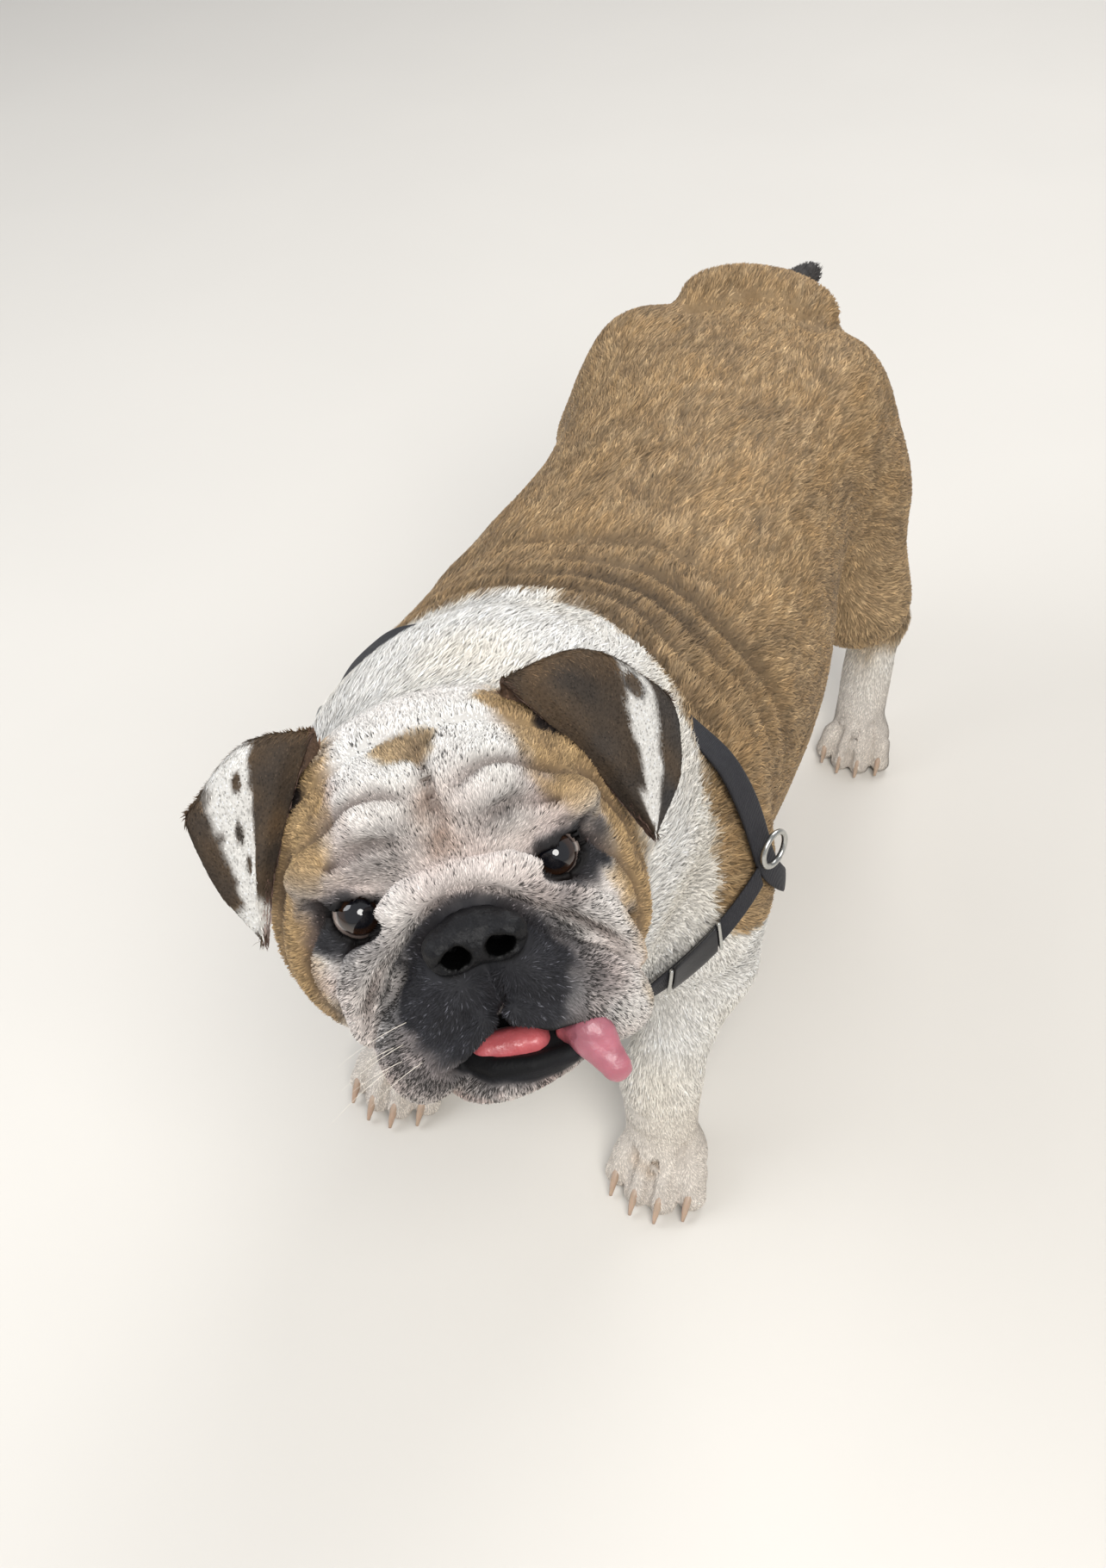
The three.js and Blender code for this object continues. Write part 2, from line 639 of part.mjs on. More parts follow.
// The jaw is cut by the head moved a gap's width each way, so that the two never touch.
const moved = (m, way) => solid(m.drawn.points.map((p) => add(p, way)), m.drawn.faces);
const ways = [HU, HF, HL].flatMap((way) => [mul(way, GAP), mul(way, -GAP)]);
const headMoved = ways.map((way) => moved(headWhole, way));
const jaw = trimmed(skinOf(chinField, ...chinBox, 12.5),
  (m) => headMoved.reduce((left, h) => left.subtract(h), m.subtract(headGrown)));
const jawGrown = skinOf((p) => chinField(p) - GAP, ...chinBox, 12.5);
place('lower_jaw', jaw, FACE, 0.8);
const tongueField = (p) => tongue(headIn(p));
const tongueBox = [headOut([20, 24, -78]).map((v) => v - 50), headOut([20, 24, -78]).map((v) => v + 50)];
place('tongue', trimmed(skinOf(tongueField, ...tongueBox, 8), (m) => m.subtract(headGrown)
  .subtract(jawGrown)), PINK, 0.35);
place('eye_left', ball(eyeAt(1), EYE_RADIUS, 6), 0x1c1512, 0.08);
place('eye_right', ball(eyeAt(-1), EYE_RADIUS, 6), 0x1c1512, 0.08);
for (const side of ['left', 'right']) {
  const leaf = sheet(5, 11, (u, v) => {
    const e = EAR[side];
    const h = 0.02;
    const w = Math.min(v, 0.88);
    const across = sub(earPlace(e, Math.min(1, u + h), w), earPlace(e, Math.max(0, u - h), w));
    const down = sub(earPlace(e, u, w + h), earPlace(e, u, Math.max(0, w - h)));
    const n = unit(cross(across, down));
    const thin = EAR_THICKNESS * 0.5 * (1 - 0.45 * v);
    const p = earPlace(e, u, Math.min(v, 0.985));
    const flip = side === 'left' ? 1 : -1;
    return [headOut(add(p, mul(n, thin * flip))), headOut(add(p, mul(n, -thin * flip)))];
  });
  place(`ear_${side}`, trimmed(leaf, (m) => m.subtract(headGrown)), 0x4a3f36, 0.85);
}

// Neck and trunk.
const trunkBox = [[-190, -330, 60], [190, 360, 460]];
const neckBox = [[-150, -480, 120], [200, -100, 520]];
const TRUNK_CELL = 38;
const NECK_CELL = 32;
const neckBehindHead = halfSpace(headOut([0, CUT_HEAD, 0]), mul(HF, -1), GAP / 2);
const neckSide = halfSpace(CUT_NECK.point, CUT_NECK.normal, GAP / 2);
const trunkSide = halfSpace(CUT_NECK.point, mul(CUT_NECK.normal, -1), GAP / 2);
place('neck', trimmed(skinOf(body, ...neckBox, NECK_CELL), (m) => m.intersect(neckSide)
  .intersect(neckBehindHead)), WHITE, 0.9);
const trunkWhole = skinOf(body, ...trunkBox, TRUNK_CELL);
const legBlocks = (cut) => ({
  fore: (side) => block([side > 0 ? 55 : -220, -320, -20], [side > 0 ? 220 : -55, -90, cut]),
  hind: (side) => block([side > 0 ? 22 : -220, 118, -20], [side > 0 ? 220 : -22, 330, cut]),
});
const below = (kind, side, cut) => legBlocks(cut)[kind](side);
const trunkOnly = (m) => {
  let left = m.intersect(trunkSide);
  for (const side of [1, -1]) {
    left = left.subtract(below('fore', side, CUT_FORELEG + GAP / 2));
    left = left.subtract(below('hind', side, CUT_HINDLEG + GAP / 2));
  }
  return left;
};
const tailCut = halfSpace([8, 306, 366], [0.35, 0.93, 0.05], GAP / 2);
const beforeTail = halfSpace([8, 306, 366], [-0.35, -0.93, -0.05], GAP / 2);
const frontBlock = block([-300, -400, 0], [300, CUT_TRUNK - GAP / 2, 600]);
const rearBlock = block([-300, CUT_TRUNK + GAP / 2, 0], [300, 400, 600]);
place('chest', trimmed(trunkWhole, (m) => trunkOnly(m).intersect(frontBlock)), FAWN, 0.9);
place('hindquarters', trimmed(trunkWhole, (m) => trunkOnly(m).intersect(beforeTail)
  .intersect(rearBlock)), FAWN, 0.9);
place('tail', trimmed(skinOf(body, [-30, 270, 335], [60, 370, 420], 10),
  (m) => m.intersect(tailCut)), 0x55504b, 0.9);

// Legs, paws and claws; the claws are one with their paw.
for (const side of [1, -1]) {
  const tag = side > 0 ? 'left' : 'right';
  const spread = (lo, hi) => (side > 0 ? [lo, hi] : [[-hi[0], lo[1], lo[2]], [-lo[0], hi[1], hi[2]]]);
  for (const kind of ['fore', 'hind']) {
    const isFore = kind === 'fore';
    const cut = isFore ? CUT_FORELEG : CUT_HINDLEG;
    const legField = isFore ? [[40, -310, 20], [190, -100, 190]] : [[10, 90, 20], [190, 340, 270]];
    const legBlock = below(kind, side, cut - GAP / 2);
    const above = block([-300, -400, CUT_PAW + GAP / 2], [300, 400, 500]);
    const leg = trimmed(skinOf(body, ...spread(...legField), 23),
      (m) => m.intersect(legBlock).intersect(above));
    place(`${kind}leg_${tag}`, leg, isFore ? WHITE : FAWN, 0.9);
    const at = isFore ? FORE_PAW : HIND_PAW;
    const width = isFore ? FORE_PAW_WIDTH : HIND_PAW_WIDTH;
    const lo = [at[0] - 48, at[1] - 66, -20];
    const hi = [at[0] + 48, at[1] + 62, 74];
    const floor = block([-300, -400, 0], [300, 400, CUT_PAW - GAP / 2]);
    const claws = [0, 1, 2, 3].map((i) => claw(side, at, width, i));
    const foot = trimmed(skinOf(body, ...spread(lo, hi), 12.6),
      (m) => claws.reduce((sum, c) => sum.add(c), m).intersect(floor));
    place(`${kind}paw_${tag}`, foot, 0xd8cdc0, 0.9);
  }
}

// Harness: a strap over the shoulders and under the chest, and one across the breast.
const smooth = (a, b, v) => {
  const t = clamp((v - a) / (b - a), 0, 1);
  return t * t * (3 - 2 * t);
};
const reach = (from, way, level) => {
  let near = 30;
  let far = 260;
  for (let step = 0; step < 40; step += 1) {
    const r = (near + far) / 2;
    if (body(from(r, way)) < level) near = r;
    else far = r;
  }
  return from(near, way);
};
const girthPlace = (u, v, level) => {
  const angle = v * 2 * Math.PI;
  const w = (u - 0.5) * STRAP_WIDTH;
  const from = (r) => {
    const z = 285 + r * Math.cos(angle);
    const y = mix(GIRTH_BACK, GIRTH_FRONT, smooth(165, 290, z)) + w;
    return [4 + r * Math.sin(angle), y, z];
  };
  return reach(from, angle, level);
};
const breastPlace = (u, v, level) => {
  const angle = (v - 0.5) * 2 * BREAST_SWEEP;
  const w = (u - 0.5) * STRAP_WIDTH;
  const from = (r) => {
    const x = r * Math.sin(angle);
    const rise = Math.min(1.05, Math.abs(x / BREAST_HALF)) ** 2.3;
    return [x, -140 - r * Math.cos(angle), BREAST_LOW + BREAST_RISE * rise + w];
  };
  return reach(from, angle, level);
};
const clearOfBody = [trunkBox, neckBox].map((box, i) => skinOf((p) => body(p) - GAP, ...box,
  i === 0 ? TRUNK_CELL : NECK_CELL));
const lying = (drawn) => trimmed(drawn,
  (m) => m.subtract(clearOfBody[0]).subtract(clearOfBody[1]));
const band = (at) => (u, v) => [at(u, v, STRAP_LIFT + STRAP_THICKNESS), at(u, v, STRAP_LIFT)];
place('harness_girth_strap', lying(sheet(1, 44, band(girthPlace), true)), BLACK, 0.8);
place('harness_breast_strap', lying(sheet(1, 28, band(breastPlace))), BLACK, 0.8);
for (const side of [1, -1]) {
  const tag = side > 0 ? 'left' : 'right';
  const up = girthPlace(0.5, 0.25 * side + (side < 0 ? 1 : 0) - 0.012 * side, 10);
  const out = unit([side, -0.28, 0.1]);
  const a = unit(cross(out, [0, 0, 1]));
  const b = cross(out, a);
  const around = [...Array(14).keys()].map((k) => {
    const w = (2 * Math.PI * k) / 14;
    return add(up, add(mul(a, RING_RADIUS * Math.cos(w)), mul(b, RING_RADIUS * Math.sin(w))));
  });
  place(`harness_ring_${tag}`, rod(around, around.map(() => 1.9), 5, true), STEEL, 0.3, 1);
}
const buckle = sheet(4, 4, (u, v) => {
  const at = (level) => breastPlace(0.5 + (u - 0.5) * 1.35, SLIDER_AT + (v - 0.5) * 0.085, level);
  return [at(STRAP_LIFT + STRAP_THICKNESS + 3.4), at(STRAP_LIFT + STRAP_THICKNESS + 0.4)];
});
place('harness_slider', buckle, 0x2a2a2c, 0.35, 0.4);

// The row's origin is under the middle of the whole model, on the floor.
const whole = new THREE.Box3().setFromObject(group);
for (const part of group.children) {
  part.geometry.translate(-(whole.min.x + whole.max.x) / 2, -(whole.min.y + whole.max.y) / 2, 0);
  part.geometry.scale(LIFE_SCALE, LIFE_SCALE, LIFE_SCALE);
}

export default group;
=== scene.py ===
import math

import bpy
import numpy as np
from mathutils import Matrix, Vector


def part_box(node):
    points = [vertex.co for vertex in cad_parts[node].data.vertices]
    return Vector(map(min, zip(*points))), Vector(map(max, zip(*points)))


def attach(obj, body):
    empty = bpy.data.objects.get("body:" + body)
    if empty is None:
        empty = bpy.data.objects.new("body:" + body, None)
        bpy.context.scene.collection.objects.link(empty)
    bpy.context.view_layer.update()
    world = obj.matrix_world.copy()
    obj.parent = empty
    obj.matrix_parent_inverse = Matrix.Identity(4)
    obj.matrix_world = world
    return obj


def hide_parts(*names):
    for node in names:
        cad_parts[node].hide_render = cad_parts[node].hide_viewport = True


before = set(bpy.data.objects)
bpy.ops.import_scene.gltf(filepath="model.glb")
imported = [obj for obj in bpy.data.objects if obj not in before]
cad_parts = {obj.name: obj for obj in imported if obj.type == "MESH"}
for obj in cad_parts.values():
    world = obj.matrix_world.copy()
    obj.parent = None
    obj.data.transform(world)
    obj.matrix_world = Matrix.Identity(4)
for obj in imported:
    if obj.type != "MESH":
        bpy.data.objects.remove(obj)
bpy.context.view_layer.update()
rng = np.random.default_rng(7)

# The dog is drawn in millimetres, facing -Y with its left side at +X, and is then brought to the
# frame: scaled to life size and moved sideways until its left eye is where the frame has it.
LIFE_SCALE = 0.945
EYE_SPACING = 90.0
EYE_RADIUS = 12.0
EYE_DEPTH = -12.0
HEAD_PLACE = np.array([79.3, -403.7, 472.1])
# The photographer's place, in the same drawing.
CAMERA_AT = np.array([336.0, -790.0, 1000.0])


def unit(v):
    v = np.asarray(v, float)
    return v / np.maximum(np.linalg.norm(v, axis=-1, keepdims=True), 1e-12)


# The head's own axes: forward, left and up.
HF = unit([0.494, -0.680, 0.542])
HL = np.array([0.773, 0.628, 0.084])
HL = unit(HL - HF * (HL @ HF))
HU = np.cross(HF, HL)
HEAD = np.array([HL, HF, HU])


def head_in(p):
    return (p - HEAD_PLACE) @ HEAD.T


def head_out(l):
    return HEAD_PLACE + np.asarray(l, float) @ HEAD


def middle_of(node):
    lo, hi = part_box(node)
    return (np.array(lo) + np.array(hi)) / 2


EYE_LEFT = head_out([EYE_SPACING / 2, EYE_DEPTH, 0])
SHIFT = middle_of("eye_left") * 1000 / LIFE_SCALE - EYE_LEFT
SHIFT[2] = 0.0


def to_row(p):
    return (np.asarray(p, float) + SHIFT) * (LIFE_SCALE / 1000)


# Blends and noise
def step(a, b, v):
    t = np.clip((v - a) / (b - a), 0, 1)
    return t * t * (3 - 2 * t)


def mix(a, b, t):
    return a + (b - a) * t


LATTICE = rng.random((32, 32, 32)).astype(np.float32)


def noise(p, size, turn=0.0):
    """Smooth noise from -1 to 1 with lumps of one size; each turn is another pattern."""
    q = np.asarray(p, np.float64) / size + turn * 7.31
    i = np.floor(q).astype(int)
    f = q - i
    f = f * f * (3 - 2 * f)
    out = np.zeros(len(q))
    for c in range(8):
        o = np.array([c & 1, (c >> 1) & 1, (c >> 2) & 1])
        w = np.prod(np.where(o == 1, f, 1 - f), axis=1)
        k = (i + o) % 32
        out += w * LATTICE[k[:, 0], k[:, 1], k[:, 2]]
    return out * 2 - 1


# Distance shapes, negative inside
def egg(p, c, r):
    q = (p - np.array(c, float)) / np.array(r, float)
    k0 = np.sqrt((q * q).sum(1))
    g = q / np.array(r, float)
    k1 = np.sqrt((g * g).sum(1))
    return k0 * (k0 - 1) / np.maximum(k1, 1e-9)


def limb(p, a, b, ra, rb):
    a = np.asarray(a, float)
    ab = np.asarray(b, float) - a
    ap = p - a
    t = np.clip(ap @ ab / (ab @ ab), 0, 1)
    d = ap - t[:, None] * ab
    return np.sqrt((d * d).sum(1)) - mix(ra, rb, t)


def join(a, b, k):
    h = np.maximum(k - np.abs(a - b), 0) / k
    return np.minimum(a, b) - h * h * k * 0.25


def carve(a, b, k):
    return -join(-a, b, k)


def line_gap(p, points):
    """Distance to a line through points."""
    best = np.full(len(p), 1e9)
    for a, b in zip(points[:-1], points[1:]):
        a = np.asarray(a, float)
        ab = np.asarray(b, float) - a
        ap = p - a
        t = np.clip(ap @ ab / (ab @ ab), 0, 1)
        d = ap - t[:, None] * ab
        best = np.minimum(best, (d * d).sum(1))
    return np.sqrt(best)


# The trunk's rows: place, top, keel, half width.
ROWS = np.array([
    [-262, 330, 200, 62], [-225, 372, 158, 108], [-160, 392, 142, 133],
    [-80, 392, 142, 138], [0, 388, 152, 133], [80, 391, 180, 119],
    [160, 396, 214, 112], [230, 392, 226, 103], [282, 378, 238, 80],
    [312, 340, 262, 46],
], float)
SQUARENESS = 2.25
SPINE_BEND = -14.0
FORE_PAW = (103.0, -238.0)
HIND_PAW = (108.0, 214.0)
FORE_WIDTH = 68.0
HIND_WIDTH = 60.0


def row_at(col, y):
    at = ROWS[:, 0]
    v = ROWS[:, col]
    n = len(at)
    i = np.clip(np.searchsorted(at, y, side="left") - 1, 0, n - 2)
    a, b = at[i], at[i + 1]
    va, vb = v[i], v[i + 1]
    span = b - a
    before = np.maximum(i - 1, 0)
    after = np.minimum(i + 2, n - 1)
    ma = np.where(i == 0, vb - va, (vb - v[before]) / (b - at[before] + 1e-9) * span)
    mb = np.where(i == n - 2, vb - va, (v[after] - va) / (at[after] - a + 1e-9) * span)
    t = np.clip((y - a) / span, 0, 1)
    t2 = t * t
    t3 = t2 * t
    return ((2 * t3 - 3 * t2 + 1) * va + (t3 - 2 * t2 + t) * ma
            + (3 * t2 - 2 * t3) * vb + (t3 - t2) * mb)


def bend(y):
    return SPINE_BEND * np.clip((y - 30) / 190, 0, 1) ** 1.5


def trunk(p):
    x = p[:, 0] - bend(p[:, 1])
    y = np.clip(p[:, 1], ROWS[0, 0], ROWS[-1, 0])
    top, keel, half = row_at(1, y), row_at(2, y), row_at(3, y)
    mid = mix(keel, top, 0.55)
    tall = np.where(p[:, 2] > mid, top - mid, mid - keel)
    n = SQUARENESS
    r = (np.abs(x / half) ** n + np.abs((p[:, 2] - mid) / tall) ** n) ** (1 / n)
    across = (r - 1) * np.minimum(half, tall)
    past = np.abs(p[:, 1] - y) * 1.6
    outside = np.where(across > 0, np.hypot(across, past), across + past)
    return np.where(past == 0, across, outside)


def off(p, centre, size):
    """Distance from a centre in half sizes, 1 on the surface of the egg."""
    return np.linalg.norm((p - centre) / size, axis=1)


def folded(p, shift=0.0):
    """Both sides laid over each other."""
    q = p.copy()
    q[:, 0] = np.abs(q[:, 0] - shift)
    return q


def foreleg(p):
    q = folded(p)
    shoulder = egg(q, [98, -168, 262], [46, 64, 82])
    arm = limb(q, [102, -188, 235], [106, -174, 172], 46, 35)
    forearm = limb(q, [106, -180, 168], [92, -216, 78], 34, 26)
    wrist = limb(q, [93, -216, 80], [98, -230, 34], 27, 26)
    return join(join(shoulder, arm, 40), join(forearm, wrist, 16), 26)


def hindleg(p):
    swing = bend(p[:, 1]) * np.clip((p[:, 2] - 120) / 140, 0, 1)
    q = folded(p, swing)
    haunch = egg(q, [77, 212, 290], [51, 82, 96])
    thigh = limb(q, [86, 205, 262], [104, 178, 206], 58, 44)
    gaskin = limb(q, [104, 186, 200], [104, 262, 118], 42, 25)
    heel = limb(q, [103, 268, 112], [103, 282, 122], 22, 15)
    shank = limb(q, [103, 264, 108], [104, 226, 34], 23, 22)
    return join(join(haunch, thigh, 40), join(join(gaskin, heel, 14), shank, 14), 24)


def paw_frame(p, place, width):
    """Places as seen from the middle of a paw, in the measures of a fore paw."""
    s = width / FORE_WIDTH
    return np.stack([(np.abs(p[:, 0]) - place[0]) / s, (p[:, 1] - place[1]) / s, p[:, 2] / s], 1)


def paw(p, place, width):
    q = paw_frame(p, place, width)
    d = egg(q, [0, 2, 19.5], [30, 31, 22])
    for i in range(4):
        reach = -36 if i in (1, 2) else -26
        x = (i - 1.5) * 16.5
        toe = limb(q, [x * 0.9, -8, 24], [x * 1.08, reach + 7, 8.8], 11, 11)
        knuckle = egg(q, [x * 1.02, reach + 16, 22], [8.6, 11, 9])
        d = join(d, join(toe, knuckle, 4), 3.2)
    return d * width / FORE_WIDTH


def lower_shift(u):
    """The lower face hangs a little to the dog's left."""
    return 7 * np.clip((-u - 20) / 50, 0, 1)


def head_flesh(l):
    p = l.copy()
    p[:, 0] -= lower_shift(l[:, 2])
    side = np.clip(p[:, 0] / 30, -1, 1)
    q = folded(p)
    d = egg(q, [0, -76, 10], [79, 80, 61])
    d = join(d, egg(q, [50, -54, -26], [37, 48, 46]), 22)
    d = join(d, egg(q, [22, -24, 32], [29, 28, 27]), 12)
    d = join(d, egg(q, [48, -20, 19], [26, 19, 15]), 10)
    d = join(d, egg(q, [0, -62, -58], [56, 58, 42]), 26)
    d = join(d, egg(q, [40, -20, -28], [30, 24, 24]), 14)
    d = join(d, egg(q, [0, 4, -14], [34, 28, 24]), 12)
    upper = limb(q, [15, 20, -36], [40, 8, -62], 20, 21)
    right = limb(q, [40, 8, -62], [46, 7, -73], 20, 15)
    left = limb(q, [40, 8, -62], [46, 7, -70], 20, 15)
    flew = join(upper, mix(right, left, (side + 1) / 2), 8)
    d = join(d, flew, 9)
    rope = limb(q, [0, 19, 9], [22, 19, 6], 9, 9.5)
    rope = np.minimum(rope, limb(q, [22, 19, 6], [42, 12, -9], 9.5, 10))
    rope = np.minimum(rope, limb(q, [42, 12, -9], [56, 2, -30], 10, 10))
    rope = np.minimum(rope, limb(q, [56, 2, -30], [60, -8, -54], 10, 8))
    return join(d, rope, 5)


def mouth_hollow(l):
    return egg(l, [7, 20, -67], [31, 26, 13])


def chin(l):
    p = l.copy()
    p[:, 0] -= 8
    p[:, 2] -= 0.12 * p[:, 0]
    return join(egg(p, [0, 5, -82], [34, 26, 13]), egg(p, [0, -26, -78], [47, 38, 21]), 16)


def orbit(l):
    return egg(folded(l), [EYE_SPACING / 2, 7, 0], [13, 12, 9])


def nose_pad(l):
    q = folded(l)
    wings = egg(q, [12.5, 33, -16], [10, 9, 9])
    return join(egg(q, [0, 31, -12.5], [18.5, 12.5, 12.5]), wings, 6)


def eye_gap(l):
    """Distance from the middle of the nearer eye."""
    p = np.stack([np.abs(l[:, 0]) - EYE_SPACING / 2, l[:, 1] - EYE_DEPTH, l[:, 2]], 1)
    return np.linalg.norm(p, axis=1)


# Creases of the face on the head's own axes: places, half width, depth. Each is on both sides.
FACE_CREASES = [
    ([(0, 31, 7), (14, 29, 1), (23, 25, -10), (32, 22, -17), (42, 17, -22), (53, 10, -36),
      (62, 8, -55)], 3.2, 9.5),
    ([(0, 12, 21), (18, 11, 19), (34, 6, 11), (50, -5, -15), (62, -12, -32), (70, -18, -56)], 3.6, 7.5),
    ([(0, 14, 20), (1, 4, 30), (0, -6, 42), (0, -20, 56), (0, -32, 64)], 2.3, 5.2),
    ([(7, 14, 20), (16, 8, 27), (32, 4, 31), (48, -4, 27), (62, -14, 12)], 3.2, 5.5),
    ([(10, -2, 47), (26, -6, 50), (44, -14, 43), (60, -30, 28)], 4.0, 4.2),
    ([(12, -40, 68), (34, -44, 64), (56, -52, 50)], 4.4, 3.0),
    ([(60, -14, 8), (71, -22, -10), (75, -24, -34), (70, -26, -62)], 4.2, 7.5),
    ([(72, -40, 24), (84, -46, -4), (83, -48, -40), (66, -46, -70)], 5.5, 5.0),
    ([(0, 42, -24), (1, 36, -34), (1, 34, -44), (0, 35, -56)], 2.0, 5.0),
    ([(24, 38, -32), (36, 30, -44), (46, 22, -60)], 2.4, 1.4),
]
# The fold over the nose, and the lower lip that turns out as a roll.
ROPE = [(0, 26, 13), (15, 25, 10), (29, 21, 1), (41, 12, -14), (53, 7, -30), (63, 2, -50)]
LIP_ROLL = [(-18, 12, -70), (-7, 23, -75), (9, 28, -77), (26, 26, -78), (39, 13, -75)]
NECK_FRONT = head_out([0, -92, -12])
NECK_AXIS = unit([-0.06, 0.95, -0.30])
NECK_CENTRE = np.array([16, -262, 356.0])
# Folds over the shoulders: place along the neck, half width, depth, middle of the turn about it.
NECK_FOLDS = [(88, 9, 5.0, 0.5), (114, 9, 7.5, 0.1), (138, 10, 8.0, 0.3), (164, 9, 6.0, 0.6),
              (190, 9, 3.5, 0.0)]


def around_neck(p):
    """Place along the neck, turn about it, and how far a fold wanders there."""
    s = (p - NECK_CENTRE) @ NECK_AXIS
    ring = p - NECK_CENTRE - s[:, None] * NECK_AXIS
    turn = np.arctan2(ring[:, 0], ring[:, 2])
    return s, turn, 5 * np.sin(turn * 3 + 1) + 3 * np.sin(turn * 5) + 9 * noise(p, 75, 41)


def coat_depth(p, l):
    """How deep the skin lies under the outline of the solids."""
    d = np.full(len(p), 2.6)
    neck = np.exp(-((p[:, 1] + 200) / 60) ** 2) * step(240, 330, p[:, 2])
    d += 0.8 * neck
    near_head = step(-105, -60, l[:, 1]) * (np.linalg.norm(l, axis=1) < 190)
    d = mix(d, 1.1, near_head)
    return mix(d, 1.3, 1 - step(45, 95, p[:, 2]))


def almond(l):
    """The opening between the lids."""
    out = np.abs(l[:, 0]) - EYE_SPACING / 2
    z = l[:, 2] + 0.4 + 0.12 * out
    x = out / 10.8
    z = np.where(z > 0, z / 6.4, z / 7.6)
    return (np.sqrt(x * x + z * z) - 1) * 7.0


def body_field(p):
    d = trunk(p)
    d = join(d, foreleg(p), 20)
    d = join(d, hindleg(p), 26)
    d = join(d, egg(p, [-16, 282, 374], [64, 34, 28]), 20)
    d = join(d, limb(p, [2, -178, 306], [16, -262, 356], 112, 106), 44)
    d = join(d, limb(p, [16, -262, 356], NECK_FRONT, 106, 84), 30)
    d = join(d, limb(p, [52, -330, 340], [24, -232, 238], 52, 74), 36)
    d = join(d, paw(p, FORE_PAW, FORE_WIDTH), 9)
    d = join(d, paw(p, HIND_PAW, HIND_WIDTH), 9)
    d = join(d, limb(p, [-4, 302, 374], [8, 332, 376], 17, 11), 8)
    l = head_in(p)
    near = (l * l).sum(1) < 260 ** 2
    if near.any():
        h = l[near]
        face = carve(carve(head_flesh(h), mouth_hollow(h), 6), orbit(h), 6)
        d[near] = join(join(d[near], face, 24), chin(h), 2.5)
    return d


def skin_field(p):
    l = head_in(p)
    d = body_field(p) + coat_depth(p, l)
    head = (l * l).sum(1) < 150 ** 2
    if head.any():
        h = l[head]
        q = h.copy()
        q[:, 0] -= lower_shift(h[:, 2])
        q = folded(q)
        e = d[head]
        for points, wide, deep in FACE_CREASES:
            e = e + deep * np.exp(-(line_gap(q, points) / wide) ** 2)
        rope = line_gap(q, ROPE)
        e = e - 3.6 * np.exp(-(rope / 8.0) ** 2)
        e = e - 2.6 * np.exp(-off(q, [27, 4, 40], [16, 14, 11]) ** 2)
        e = e - 2.2 * np.exp(-off(q, [50, -6, 22], [14, 12, 5]) ** 2)
        lip = np.minimum(line_gap(h, [(-36, 24, -62), (-20, 30, -60), (-6, 36, -49)]),
                         line_gap(h, [(38, 26, -60), (22, 32, -57), (8, 36, -48)])) - 5.5
        e = join(e, lip, 5)
        e = e - 0.8 * noise(h, 15, 1) * step(-40, -10, h[:, 1])
        eye = eye_gap(h)
        e = join(e, eye - (EYE_RADIUS + 2.8), 5)
        opening = np.maximum(almond(h), -(h[:, 1] + 4))
        e = carve(e, opening, 1.6)
        e = carve(e, eye - (EYE_RADIUS + 0.05), 0.4)
        e = join(e, line_gap(h, LIP_ROLL) - 4.3, 3)
        e = carve(e, egg(folded(h), [11, 46, -17], [8.5, 27, 7]), 1.0)
        d[head] = e
    s, turn, wave = around_neck(p)
    up = step(215, 300, p[:, 2])
    for at, wide, deep, side in NECK_FOLDS:
        fade = np.exp(-((turn - side) / 0.9) ** 2) * (0.75 + 0.45 * noise(p, 60, at))
        d = d + deep * up * fade * np.exp(-((s - at - wave) / wide) ** 2)
    rump = line_gap(p, [(-62, 236, 372), (-30, 256, 388), (4, 262, 392), (40, 246, 384)])
    d = d + 5.5 * np.exp(-(rump / 9) ** 2)
    groin = line_gap(folded(p, -8), [(60, 96, 200), (78, 130, 250), (88, 140, 300)])
    d = d + 5.0 * np.exp(-(groin / 14) ** 2)
    elbow = line_gap(folded(p), [(118, -120, 190), (128, -128, 240), (126, -140, 290)])
    d = d + 4.0 * np.exp(-(elbow / 14) ** 2)
    low = p[:, 2] < 95
    if low.any():
        f = p[low]
        g = d[low]
        for place, width in ((FORE_PAW, FORE_WIDTH), (HIND_PAW, HIND_WIDTH)):
            q = paw_frame(f, place, width)
            for i in range(3):
                x = (i - 1) * 16.8
                cleft = line_gap(q, [(x * 1.1, -40, 5), (x, -26, 26), (x * 0.85, -4, 40)])
                g = g + 8.0 * np.exp(-(cleft / 2.7) ** 2)
            for i in range(4):
                far = -31 if i in (1, 2) else -22
                knuckle = off(q, [(i - 1.5) * 16.6, far, 20], [7, 9, 9])
                g = g - 1.8 * np.exp(-knuckle ** 2)
            for deep, wrist in ((3.2, [(-26, -8, 48), (0, -18, 52), (26, -8, 48)]),
                                (2.6, [(-28, 2, 66), (0, -16, 70), (28, 2, 66)])):
                g = g + deep * np.exp(-(line_gap(q, wrist) / 4) ** 2)
        d[low] = g
    return d - 0.9 * noise(p, 34, 3)


def crease_amount(l):
    """How deep in a crease of the face a place is, from 0 to 1."""
    q = l.copy()
    q[:, 0] -= lower_shift(l[:, 2])
    q = folded(q)
    out = np.zeros(len(l))
    for points, wide, deep in FACE_CREASES:
        if deep > 3.5:
            amount = min(1.0, deep / 7) * np.exp(-(line_gap(q, points) / (wide * 0.95)) ** 2)
            out = np.maximum(out, amount)
    return out


# The black of the muzzle: middle and half sizes.
MUZZLE = ([-3, 34, -33], [43, 40, 42])


